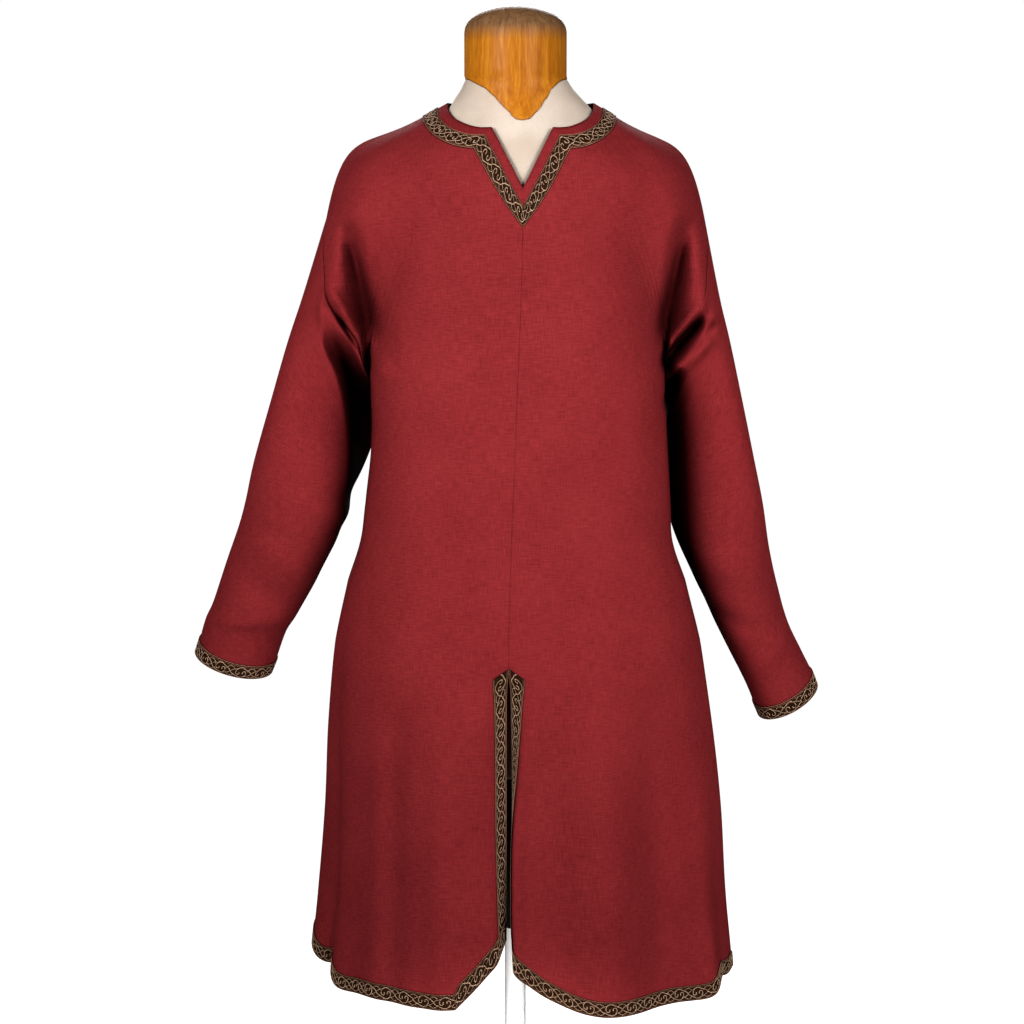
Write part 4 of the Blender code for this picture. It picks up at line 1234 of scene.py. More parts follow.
@dataclass(frozen=True)
class SleeveCut:
    """A sleeve's surface: at(turn, step, side), turn 0 to 1 from the top by the front, step 0 at
    the armhole to 11 at the cuff edge, the cuff braid on the last step."""

    body: BodyCut = BodyCut()
    fade_outer: float = 0.24
    fade_inner: float = 0.09
    first_step: float = 0.87
    # start turn and depth at each step: where the sleeve falls back beside the body; the last
    # row holds for the steps beyond it
    tuck_minus_x: Rows = (
        (0.24, 0.000), (0.235, 0.045), (0.305, 0.064), (0.345, 0.064),
        (0.40, 0.036), (0.43, 0.015), (0.45, 0.000), (0.45, 0.000),
    )
    tuck_plus_x: Rows = (
        (0.33, 0.000), (0.37, 0.018), (0.415, 0.028), (0.445, 0.028),
        (0.455, 0.024), (0.460, 0.018), (0.460, 0.012), (0.460, 0.006),
        (0.460, 0.000), (0.430, 0.000),
    )
    tuck_rise: float = 0.070
    tuck_end: Row = (0.50, 0.14)
    # side, turn, step, height outwards, half width in turns and in steps, slant in steps a turn
    ripples: Rows = (
        (-1, 0.500, 4.35, -0.004, 0.10, 0.45, 0.0), (-1, 0.500, 5.05, 0.001, 0.10, 0.30, 0.0),
        (-1, 0.500, 5.70, -0.001, 0.10, 0.30, 0.0), (-1, 0.500, 1.60, 0.007, 0.12, 1.20, 0.0),
        (1, 0.500, 1.00, 0.006, 0.12, 0.80, 0.0), (-1, 0.300, 6.60, 0.004, 0.14, 0.35, 3.0),
        (-1, 0.280, 7.35, -0.004, 0.12, 0.30, 3.0), (-1, 0.220, 8.20, 0.003, 0.12, 0.35, -2.0),
        (-1, 0.350, 4.70, 0.004, 0.10, 0.40, 2.0), (1, 0.280, 5.90, 0.003, 0.12, 0.40, -3.0),
        (1, 0.310, 7.20, -0.004, 0.14, 0.35, -3.0), (1, 0.240, 8.40, 0.003, 0.12, 0.30, 2.0),
        (-1, 0.750, 6.20, 0.004, 0.14, 0.40, -3.0), (-1, 0.720, 7.20, -0.004, 0.12, 0.35, -3.0),
        (-1, 0.700, 3.20, -0.005, 0.12, 0.50, -3.0), (1, 0.760, 6.40, 0.004, 0.14, 0.40, 3.0),
        (1, 0.740, 7.50, -0.003, 0.12, 0.35, 3.0), (1, 0.720, 3.60, -0.005, 0.12, 0.50, 3.0),
    )
    ripple_start: float = 0.8
    ripple_rise: float = 0.3
    step_length: float = 0.045
    groove_fade: float = 0.10
    # outermost x, y, z, innermost x, y, z, half depth, lean in degrees
    plus_x: Rows = (
        (0.2195, 0.006, 1.3810, 0.1760, 0.006, 1.200, 0.056, 0.0),
        (0.2371, 0.000, 1.2923, 0.1790, 0.020, 1.182, 0.057, 2.0),
        (0.2498, -0.002, 1.2396, 0.1775, 0.040, 1.160, 0.057, 3.0),
        (0.2652, -0.004, 1.1688, 0.1765, 0.058, 1.120, 0.056, 4.0),
        (0.2795, 0.000, 1.1033, 0.1785, 0.062, 1.066, 0.056, 6.0),
        (0.2917, 0.010, 1.0487, 0.1880, 0.052, 1.015, 0.056, 7.0),
        (0.3016, 0.026, 0.9936, 0.2110, 0.042, 0.961, 0.055, 8.0),
        (0.3139, 0.041, 0.9440, 0.2339, 0.041, 0.912, 0.053, 9.0),
        (0.3275, 0.048, 0.9000, 0.2560, 0.048, 0.868, 0.049, 10.0),
        (0.3457, 0.054, 0.8621, 0.2765, 0.054, 0.828, 0.046, 11.0),
        (0.3587, 0.058, 0.8367, 0.2885, 0.058, 0.800, 0.045, 12.0),
        (0.3654, 0.061, 0.8200, 0.2954, 0.061, 0.784, 0.044, 12.0),
    )
    minus_x: Rows = (
        (-0.2195, 0.006, 1.3810, -0.1702, 0.006, 1.200, 0.056, 0.0),
        (-0.2460, 0.000, 1.2957, -0.1730, 0.020, 1.180, 0.059, 2.0),
        (-0.2649, -0.002, 1.2396, -0.1725, 0.042, 1.156, 0.061, 3.0),
        (-0.2862, 0.000, 1.1688, -0.1720, 0.055, 1.120, 0.062, 4.0),
        (-0.3077, 0.010, 1.0974, -0.1870, 0.035, 1.070, 0.063, 6.0),
        (-0.3194, 0.020, 1.0492, -0.1995, 0.028, 1.034, 0.063, 7.0),
        (-0.3276, 0.029, 1.0221, -0.2112, 0.029, 1.004, 0.062, 8.0),
        (-0.3447, 0.036, 0.9752, -0.2361, 0.036, 0.957, 0.057, 9.0),
        (-0.3621, 0.043, 0.9254, -0.2590, 0.043, 0.914, 0.053, 10.0),
        (-0.3725, 0.047, 0.9028, -0.2751, 0.047, 0.889, 0.050, 11.0),
        (-0.3800, 0.051, 0.8790, -0.2880, 0.051, 0.854, 0.048, 12.0),
        (-0.3855, 0.053, 0.8625, -0.2945, 0.053, 0.838, 0.047, 12.0),
    )

    def tube(self, turn: Array, step: Array, side: Side) -> Array:
        """Ellipses through the table: middle + cos a (outer - inner) / 2 + sin a forward.

        Args:
            turn: Turns, with a = 2 pi turn.
            step: Steps.
            side: Side of the object.

        Returns:
            The points.
        """
        values = through(side.of(self.minus_x, self.plus_x), step)
        outer, inner = values[..., :3], values[..., 3:6]
        lean = np.radians(values[..., 7])
        ahead = np.stack((0.0 * lean, -np.cos(lean), -np.sin(lean)), axis=-1)
        forward = values[..., 6:7] * ahead
        angle = (2.0 * math.pi * turn)[..., None]
        middle = (outer + inner) / 2
        return middle + np.cos(angle) * (outer - inner) / 2 + np.sin(angle) * forward

    def seam(self, turn: Array, side: Side) -> Array:
        """Point of the armhole seam on the body that each turn meets.

        Args:
            turn: Turns round the armhole.
            side: Side of the object.

        Returns:
            The points.
        """
        body = self.body
        reach = body.columns - body.ring_columns
        down = body.columns - 2.0 * reach * np.minimum(turn, 0.5)
        up = body.ring_columns + 2.0 * reach * np.clip(turn - 0.5, 0.0, 0.5)
        front = body.base(down, body.yoke_rows, side, Face.FRONT)
        back = body.base(up, body.yoke_rows, side, Face.BACK)
        return np.where((turn <= 0.5)[..., None], front, back)

    def creased(self, points: Array, turn: Array, step: Array, side: Side) -> Array:
        """Points of the sleeve with its seam groove, with its tuck beside the body, depth * rise *
        fall in the turn, and with its ripples, each a bell in turn and step.

        Args:
            points: Points of the sleeve.
            turn: Their turns.
            step: Their steps.
            side: Side of the object.

        Returns:
            The moved points.
        """
        moved = points.copy()
        start = smooth_step(step / self.ripple_start)
        groove = self.body.groove * bell(step * self.step_length, self.body.groove_half)
        groove *= smooth_step(np.minimum(turn, 1.0 - turn) / self.groove_fade)
        moved[..., 1] += np.where(turn < 0.5, groove, -groove)
        tuck = through(side.of(self.tuck_minus_x, self.tuck_plus_x), step)
        into = smooth_step((turn - tuck[..., 0]) / self.tuck_rise)
        out = 1.0 - smooth_step((turn - self.tuck_end[0]) / self.tuck_end[1])
        moved[..., 1] += start * tuck[..., 1] * into * out
        across, ahead = np.cos(2.0 * math.pi * turn), np.sin(2.0 * math.pi * turn)
        outwards = np.stack((side.value * across, -ahead, self.ripple_rise * across), axis=-1)
        for ripple_side, ripple_turn, ripple_step, height, wide, long, slant in self.ripples:
            if ripple_side == side.value:
                away = np.mod(turn - ripple_turn + 0.5, 1.0) - 0.5
                beyond = step - ripple_step - slant * away
                push = start * height * bell(away, wide) * bell(beyond, long)
                moved += push[..., None] * outwards
        return moved

    def at(self, turn: Array, step: Array, side: Side) -> Array:
        """The dressed surface: the tube with the body's armhole folds, drawn to the armhole seam
        by a share that falls to 0 sooner on the inner side, and creased.

        Args:
            turn: Turns, in a shape that goes with the steps'.
            step: Steps.
            side: Side of the object.

        Returns:
            The points.
        """
        turn, step = np.broadcast_arrays(np.asarray(turn, float), np.asarray(step, float))
        creases = self.body.creases
        tube = self.tube(turn, step, side)
        entry = smooth_step(step / self.first_step)[..., None]
        folded = tube + entry * (creases.arm_folds(tube) - tube)
        away = self.seam(turn, side) - self.tube(turn, 0.0 * step, side)
        last = len(self.plus_x) - 1
        outer_share = (1.0 + np.cos(2.0 * math.pi * turn)) / 2
        reach = self.fade_inner + (self.fade_outer - self.fade_inner) * outer_share
        fade = 1.0 - smooth_step(step / last / reach)
        return creases.fine(self.creased(folded + fade[..., None] * away, turn, step, side))


# ---- cloth pieces


@dataclass
class Tunic:
    """The cut and sewn cloth: two fronts, a back and two sleeves."""

    body: BodyCut
    sleeve: SleeveCut
    linen: Material
    wall: float = 0.0012
    weld: float = 2e-5
    front_columns: tuple[int, int, int] = (16, 72, 66)
    back_columns: tuple[int, int, int] = (8, 60, 40)
    front_rows: tuple[int, int, int, int, int] = (6, 68, 80, 96, 5)
    back_rows: tuple[int, int, int, int, int] = (6, 44, 62, 76, 5)
    turns: int = 160
    steps: int = 239
    cuff_steps: int = 4
    shoulder: Row = (1.37, 0.09)
    even_middle: float = 0.05
    # height, front depth and back depth above the armpit
    upper_depths: Rows = ((1.46, 0.090, 0.085), (1.37, 0.113, 0.110))

    def cloth_uv(self, points: Array, side: Side, face: Face) -> Array:
        """Cloth coordinates of the body, in metres.

        Across they add x and the way back from the front or back plane; upwards they take the
        height, and over the shoulders it is the height that takes the way back.

        Args:
            points: Points of the panel.
            side: Side of the object.
            face: Front or back.

        Returns:
            The coordinates of each point.
        """
        x, y, z = np.moveaxis(points, -1, 0)
        lower_depths = tuple((row[0], row[3], row[4]) for row in self.body.table)
        rows = np.array(self.upper_depths + lower_depths)[::-1]
        depth = np.interp(z, rows[:, 0], rows[:, face.of(1, 2)])
        behind = depth + face.of(y, -y)
        over = smooth_step((z - self.shoulder[0]) / self.shoulder[1])
        aside = smooth_step(np.abs(x) / self.even_middle) * (1.0 - over)
        return np.stack((x + side.value * behind * aside, z + over * behind), axis=-1)

    def stations(self, face: Face) -> tuple[Array, Array, Array]:
        """Columns, yoke rows and skirt rows of a panel's grid.

        Args:
            face: Front or back.

        Returns:
            The three rows of numbers.
        """
        near, ring, armhole = face.of(self.front_columns, self.back_columns)
        band, yoke, chest, skirt, hem = face.of(self.front_rows, self.back_rows)
        cut = self.body
        columns = stretches(
            (0.0, cut.braid_columns, near),
            (cut.braid_columns, cut.ring_columns, ring),
            (cut.ring_columns, cut.columns, armhole),
        )
        upper = stretches((0.0, cut.band_rows, band), (cut.band_rows, cut.yoke_rows, yoke))
        lower = stretches(
            (cut.yoke_rows, cut.slit_row, chest),
            (cut.slit_row, cut.braid_row, skirt),
            (cut.braid_row, cut.hem_row, hem),
        )
        return columns, upper, lower[1:]

    def half(self, side: Side, face: Face) -> MeshParts:
        """Half a body panel: its yoke grid, and its skirt grid joined to the yoke's last row.

        Args:
            side: Side of the object.
            face: Front or back.

        Returns:
            The half panel.
        """
        columns, upper, lower = self.stations(face)
        ring_count = int(np.searchsorted(columns, self.body.ring_columns, side="right"))
        flip = (side is Side.PLUS_X) == (face is Face.FRONT)
        grids = []
        for across, down in ((columns, upper), (columns[:ring_count], lower)):
            points = self.body.at(across[None, :], down[:, None], side, face)
            grids.append(MeshParts.grid(points, self.cloth_uv(points, side, face), flip=flip))
        top, bottom = grids
        last = (len(upper) - 1) * len(columns) + np.arange(ring_count)
        first = len(top.points) + np.arange(ring_count)
        between = np.stack((last[:-1], last[1:], first[1:], first[:-1]), axis=-1)
        return top.joined(bottom).with_faces(between[:, ::-1] if flip else between)

    def fronts(self) -> list[Piece]:
        """The two front halves, apart at the centre seam.

        Returns:
            The two pieces.
        """
        made = []
        for side in Side:
            parts = self.half(side, Face.FRONT)
            piece = build_mesh(f"linen_front_{side.word}", parts, [self.linen])
            made.append(give_wall(piece, self.wall))
        return made

    def back(self) -> Piece:
        """The back in one piece, its halves made one at the centre.

        Returns:
            The piece.
        """
        right, left = (self.half(side, Face.BACK) for side in Side)
        piece = build_mesh("linen_back", right.joined(left), [self.linen], self.weld)
        return give_wall(piece, self.wall)

    def sleeves(self) -> list[Piece]:
        """The two sleeves, tubes from the armhole to the cuff.

        Returns:
            The two pieces.
        """
        made = []
        last = float(len(self.sleeve.plus_x) - 1)
        steps = stretches((0.0, last - 1, self.steps), (last - 1, last, self.cuff_steps))
        turns = np.arange(self.turns) / self.turns
        for side in Side:
            points = self.sleeve.at(turns[None, :], steps[:, None], side)
            down = np.linalg.norm(np.diff(points, axis=0), axis=-1).mean(axis=1)
            along = np.concatenate(((0.0,), np.cumsum(down)))[:, None] + 0.0 * turns
            round_length = np.linalg.norm(np.diff(points, axis=1), axis=-1).sum(axis=1).mean()
            around = round_length * (turns[None, :] + 0.0 * along)
            uv = np.stack((around, along), axis=-1)
            parts = MeshParts.grid(points, uv, loop=True, flip=side is Side.MINUS_X)
            piece = build_mesh(f"linen_sleeve_{side.word}", parts, [self.linen])
            made.append(give_wall(piece, self.wall))
        return made


# ---- braids


@dataclass
class Lane:
    """Strip of cloth under a braid: at(length, across, height) in metres, a share and metres."""

    points: Array
    normals: Array
    length: float
    closed: bool

    @classmethod
    def along(
        cls, grid: Array, closed: bool, outwards: Array, spacing: float = 0.0015
    ) -> "Lane":
        """Makes a lane from a grid of cloth points.

        Args:
            grid: Points, with shape (along, across, 3).
            closed: Whether its end meets its start.
            outwards: A rough outward direction for each point along.
            spacing: Distance between its stations.

        Returns:
            The lane with even stations, and normals from the cross product of its two directions.
        """
        if closed:
            grid = np.concatenate((grid, grid[:1]), axis=0)
            outwards = np.concatenate((outwards, outwards[:1]), axis=0)
        middle = grid[:, grid.shape[1] // 2]
        lengths = np.linalg.norm(np.diff(middle, axis=0), axis=-1)
        run = np.concatenate(((0.0,), np.cumsum(lengths)))
        count = max(int(round(run[-1] / spacing)), 2)
        even = np.linspace(0.0, run[-1], count + 1)
        flat = np.concatenate((grid.reshape(len(grid), -1), outwards), axis=1)
        flat = np.stack([np.interp(even, run, column) for column in flat.T], axis=-1)
        points = flat[:, :-3].reshape(len(even), grid.shape[1], 3)
        if closed:
            wrapped = np.concatenate((points[-2:-1], points, points[1:2]), axis=0)
            ahead = (wrapped[2:] - wrapped[:-2]) / 2
        else:
            ahead = np.gradient(points, axis=0)
        normals = unit(np.cross(ahead, np.gradient(points, axis=1)))
        facing = np.einsum("ijk,ik->ij", normals, flat[:, -3:]).mean()
        return cls(points, normals * np.sign(facing), float(run[-1]), closed)

    def at(self, length: Array, across: Array, height: Array) -> Array:
        """Points over the lane: between four of its points, moved out along their normals.

        Args:
            length: Distances along the lane in metres.
            across: Shares of its width.
            height: Heights over it in metres.

        Returns:
            The points.
        """
        length, across, height = np.broadcast_arrays(length, across, height)
        rows, columns = self.points.shape[:2]
        share = length / self.length
        i = (np.mod(share, 1.0) if self.closed else np.clip(share, 0.0, 1.0)) * (rows - 1)
        j = np.clip(across, 0.0, 1.0) * (columns - 1)
        low_i = np.minimum(i.astype(int), rows - 2)
        low_j = np.minimum(j.astype(int), columns - 2)
        s, t = (i - low_i)[..., None], (j - low_j)[..., None]

        def blend(values: Array) -> Array:
            """Values between the four nearest.

            Args:
                values: At the corners of the cells.

            Returns:
                The blended values.
            """
            near = values[low_i, low_j] * (1 - t) + values[low_i, low_j + 1] * t
            far = values[low_i + 1, low_j] * (1 - t) + values[low_i + 1, low_j + 1] * t
            return near * (1 - s) + far * s

        return blend(self.points) + height[..., None] * unit(blend(self.normals))


@dataclass
class Braid:
    """Woven braid: a dark ribbon, edge cords and a running scroll of hooked rings and crossings."""

    ground: Material
    scroll: Material
    edging: Material
    width: float = 0.0175
    lift: float = 0.0003
    thickness: float = 0.0009
    # the ribbon's rounded edge: its height as a share of the top's, and its share of the width
    edge_height: float = 0.7
    edge_bevel: float = 0.02
    pitch: float = 0.0255
    ring_half: float = 0.0062
    curl_half: float = 0.0029
    curl_shrink: float = 0.55
    curl_sweep: float = 215.0
    loop_half: float = 0.0060
    loop_angles: Row = (155.0, 25.0)
    crossing_slope: float = 58.0
    thread_half: float = 0.00040
    loop_thread_half: float = 0.00026
    # how much wider a hook's thread starts, and over how many of its points
    bulb: float = 0.9
    bulb_points: float = 1.5
    thread_height: float = 0.00035
    edge_halves: Row = (0.00024, 0.00013)
    edge_places: Row = (0.026, 0.105)
    ring_steps: int = 12
    curl_steps: int = 12
    side_steps: int = 10
    loop_steps: int = 11

    def strand(
        self, lane: Lane, length: Array, across: Array, finish: int, half: Array | float
    ) -> MeshParts:
        """A thread on the ribbon: a low ridge of four points across a path.

        Args:
            lane: Lane that carries the braid.
            length: Places along the lane in metres, with shape (strands, points).
            across: Distances from the lane's middle in metres, of the same shape.
            finish: Number of the material slot.
            half: Half the thread's width, one value or one for each point of a strand.

        Returns:
            The strands.
        """
        path = np.stack((length, across), axis=-1)
        ahead = unit(np.gradient(path, axis=1))
        left = np.stack((-ahead[..., 1], ahead[..., 0]), axis=-1)
        aside = np.broadcast_to(half, length.shape)[..., None] * left
        top = self.lift + self.thickness
        crest = top + self.thread_height
        sections = []
        for shift, height in ((-1.0, top), (-0.5, crest), (0.5, crest), (1.0, top)):
            place = path + shift * aside
            share = 0.5 + place[..., 1] / self.width
            sections.append(lane.at(place[..., 0], share, np.full(length.shape, height)))
        points = np.stack(sections, axis=2)
        strands, steps, sides = points.shape[:3]
        index = np.arange(strands * steps * sides).reshape(strands, steps, sides)
        near, far = index[:, :-1], index[:, 1:]
        corners = (near[..., :-1], far[..., :-1], far[..., 1:], near[..., 1:])
        faces = np.stack(corners, axis=-1).reshape(-1, 4)
        uv = np.broadcast_to(path[:, :, None], (strands, steps, sides, 2)).reshape(-1, 2)
        return MeshParts(points.reshape(-1, 3), faces, uv, np.full(len(faces), finish))

    def hook(self) -> tuple[Array, Array]:
        """A hook and its way to the next crossing.

        It winds out of a small curl, r = curl_half (1 - curl_shrink ease(share)), at the far end
        of the ring, follows the ring over its side and runs down a cubic curve to half the pitch.

        Returns:
            Distances along and across, in metres from the ring's middle.
        """
        share = np.linspace(1.0, 0.0, self.curl_steps)
        radius = self.curl_half * (1.0 - self.curl_shrink * smooth_step(share))
        angle = math.pi + math.radians(self.curl_sweep) * share
        shift = self.curl_half - self.ring_half
        curl = np.stack((shift + radius * np.cos(angle), radius * np.sin(angle)), axis=-1)
        leave = math.acos(2.0 * self.ring_half / self.pitch)
        angle = np.linspace(math.pi, leave, self.ring_steps)[1:]
        rim = self.ring_half * np.stack((np.cos(angle), np.sin(angle)), axis=-1)
        goal = np.array((self.pitch / 2, 0.0))
        slope = math.radians(self.crossing_slope)
        pull = np.linalg.norm(goal - rim[-1])
        off = pull * np.array((math.sin(leave), -math.cos(leave)))
        on = pull * np.array((math.cos(slope), -math.sin(slope)))
        t = np.linspace(0.0, 1.0, self.side_steps)[1:, None]
        path = np.vstack((curl, rim, cubic(t, rim[-1], off, goal, on)))
        return path[:, 0], path[:, 1]

    def crossing(self) -> tuple[Array, Array]:
        """The short strand that crosses the hooks' at half the pitch, along and across.

        Returns:
            Places along and across the lane.
        """
        along, across = (values[-self.side_steps :] for values in self.hook())
        along = np.concatenate((along, self.pitch - along[-2::-1]))
        return along, np.concatenate((-across, across[-2::-1]))

    def loop(self) -> tuple[Array, Array]:
        """The arc beside the crossing, a part of a circle round it, along and across."""
        angle = np.radians(np.linspace(*self.loop_angles, self.loop_steps))
        return self.pitch / 2 + self.loop_half * np.cos(angle), self.loop_half * np.sin(angle)

    def motifs(self, lane: Lane) -> MeshParts:
        """The scroll along the lane, each hook with its half-turned twin.

        Args:
            lane: The braid's path.

        Returns:
            The raised threads.
        """
        count = max(int(round(lane.length / self.pitch)), 1)
        pitch = lane.length / count
        stretch = pitch / self.pitch
        centres = ((np.arange(count) + 0.5) * pitch)[:, None]
        middles = centres if lane.closed else centres[:-1]
        along, across = self.hook()
        widening = self.bulb * bell(np.arange(len(along)), self.bulb_points)
        hook_half = self.thread_half * (1.0 + widening)
        loop_along, loop_across = self.loop()
        strands = (
            (centres, along, across, hook_half),
            (centres, -along, -across, hook_half),
            (middles, *self.crossing(), self.loop_thread_half),
            (middles, loop_along, loop_across, self.loop_thread_half),
            (middles, loop_along, -loop_across, self.loop_thread_half),
        )
        made = [
            self.strand(lane, starts + ahead * stretch, aside + 0.0 * starts, 1, half)
            for starts, ahead, aside, half in strands
        ]
        parts = made[0]
        for more in made[1:]:
            parts = parts.joined(more)
        return parts

    def ribbon(self, lane: Lane) -> MeshParts:
        """The ribbon: a low closed section carried along the lane, with its ends filled.

        Args:
            lane: The braid's path.

        Returns:
            The ribbon.
        """
        low, top = self.lift, self.lift + self.thickness
        edge = self.edge_height * top
        section = (
            (0.0, low),
            (0.0, edge),
            (self.edge_bevel, top),
            (0.25, top),
            (0.5, top),
            (0.75, top),
            (1.0 - self.edge_bevel, top),
            (1.0, edge),
            (1.0, low),
            (0.5, low),
        )
        across, height = np.array(section).T
        stations = lane.points.shape[0]
        count = stations - 1 if lane.closed else stations
        along = np.arange(count)[:, None] * lane.length / (stations - 1)
        points = lane.at(along, across, height)
        uv = np.stack(np.broadcast_arrays(along, across * self.width), axis=-1)
        if lane.closed:
            points = np.concatenate((points, points[:1]), axis=0)
            uv = np.concatenate((uv, uv[-1:]), axis=0)
        parts = MeshParts.grid(points, uv, loop=True)
        if lane.closed:
            return parts
        ladder = np.array([(0, 1, 8, 9), (1, 2, 7, 8), (2, 3, 6, 7), (3, 4, 5, 6)])
        return parts.with_faces(ladder, (len(parts.points) - len(section) + ladder)[:, ::-1])

    def make(self, name: str, lane: Lane) -> Piece:
        """Makes a braid on a lane.

        Args:
            name: Name of the piece.
            lane: Where it lies.

        Returns:
            The piece.
        """
        parts = self.ribbon(lane).joined(self.motifs(lane))
        steps = np.linspace(0.0, lane.length, lane.points.shape[0])[None, :]
        for place, half in zip(self.edge_places, self.edge_halves):
            for share in (place, 1.0 - place):
                across = np.full_like(steps, (share - 0.5) * self.width)
                parts = parts.joined(self.strand(lane, steps, across, 2, half))
        return build_mesh(name, parts, [self.ground, self.scroll, self.edging])


@dataclass
class Trims:
    """The six braids and the lanes of cloth that they lie on."""

    body: BodyCut
    sleeve: SleeveCut
    braid: Braid
    across: int = 5
    neck_row: float = 0.87
    neck_steps: int = 120
    neck_middle_z: float = 1.40
    hem_steps: int = 200
    slit_steps: int = 160
    slit_across: int = 9
    cuff_steps: int = 160

    def round_body(self, rows: Array, quarters: tuple[tuple[Array, Side, Face], ...]) -> Array:
        """Points of four quarters of the body, one after the other.

        Args:
            rows: Rows of the body, over the braid's width.
            quarters: Columns, side and face of each quarter.

        Returns:
            The points, with shape (along, across, 3).
        """
        return np.concatenate(
            [self.body.at(columns[:, None], rows, side, face) for columns, side, face in quarters]
        )

    def neck(self) -> Piece:
        """The braid round the neckline and the V.

        Returns:
            The piece.
        """
        rows = np.linspace(self.neck_row, self.body.band_rows, self.across)[None, :]
        out = np.linspace(0.0, self.body.columns, self.neck_steps, endpoint=False)
        home = np.linspace(self.body.columns, 0.0, self.neck_steps, endpoint=False)
        quarters = (
            (home, Side.MINUS_X, Face.FRONT),
            (out, Side.PLUS_X, Face.FRONT),
            (home, Side.PLUS_X, Face.BACK),
            (out, Side.MINUS_X, Face.BACK),
        )
        grid = self.round_body(rows, quarters)
        outwards = grid[:, self.across // 2] - np.array((0.0, 0.0, self.neck_middle_z))
        return self.braid.make("woven_neck_braid", Lane.along(grid, True, outwards))

    def hem(self) -> Piece:
        """The braid along the hem, from one slit edge round the back to the other.

        Returns:
            The piece.
        """
        rows = np.linspace(self.body.hem_row, self.body.braid_row, self.across)[None, :]
        out = np.linspace(0.0, self.body.ring_columns, self.hem_steps, endpoint=False)
        home = np.linspace(self.body.ring_columns, 0.0, self.hem_steps, endpoint=False)
        last = np.linspace(self.body.ring_columns, 0.0, self.hem_steps)
        quarters = (
            (out, Side.PLUS_X, Face.FRONT),
            (home, Side.PLUS_X, Face.BACK),
            (out, Side.MINUS_X, Face.BACK),
            (last, Side.MINUS_X, Face.FRONT),
        )
        grid = self.round_body(rows, quarters)
        outwards = grid[:, self.across // 2] * np.array((1.0, 1.0, 0.0))
        return self.braid.make("woven_hem_braid", Lane.along(grid, False, outwards))

    def slits(self) -> list[Piece]:
        """The braids down both edges of the front slit.

        Returns:
            The two pieces.
        """
        made = []
        rows = np.linspace(self.body.slit_row, self.body.braid_row, self.slit_steps)[:, None]
        columns = np.linspace(0.0, self.body.braid_columns, self.slit_across)[None, :]
        outwards = np.broadcast_to(np.array((0.0, -1.0, 0.0)), (len(rows), 3))
        for side in Side:
            grid = self.body.at(columns, rows, side, Face.FRONT)
            lane = Lane.along(grid, False, outwards)
            made.append(self.braid.make(f"woven_slit_braid_{side.word}", lane))
        return made

    def cuffs(self) -> list[Piece]:
        """The braids round both cuffs.

        Returns:
            The two pieces.
        """
        made = []
        last = float(len(self.sleeve.plus_x) - 1)
        steps = np.linspace(last, last - 1.0, self.across)[None, :]
        turns = np.arange(self.cuff_steps)[:, None] / self.cuff_steps
        for side in Side:
            grid = self.sleeve.at(turns, steps, side)
            middle = grid[:, self.across // 2]
            lane = Lane.along(grid, True, middle - middle.mean(axis=0))
            made.append(self.braid.make(f"woven_cuff_braid_{side.word}", lane))
        return made


# ---- dress form and stand


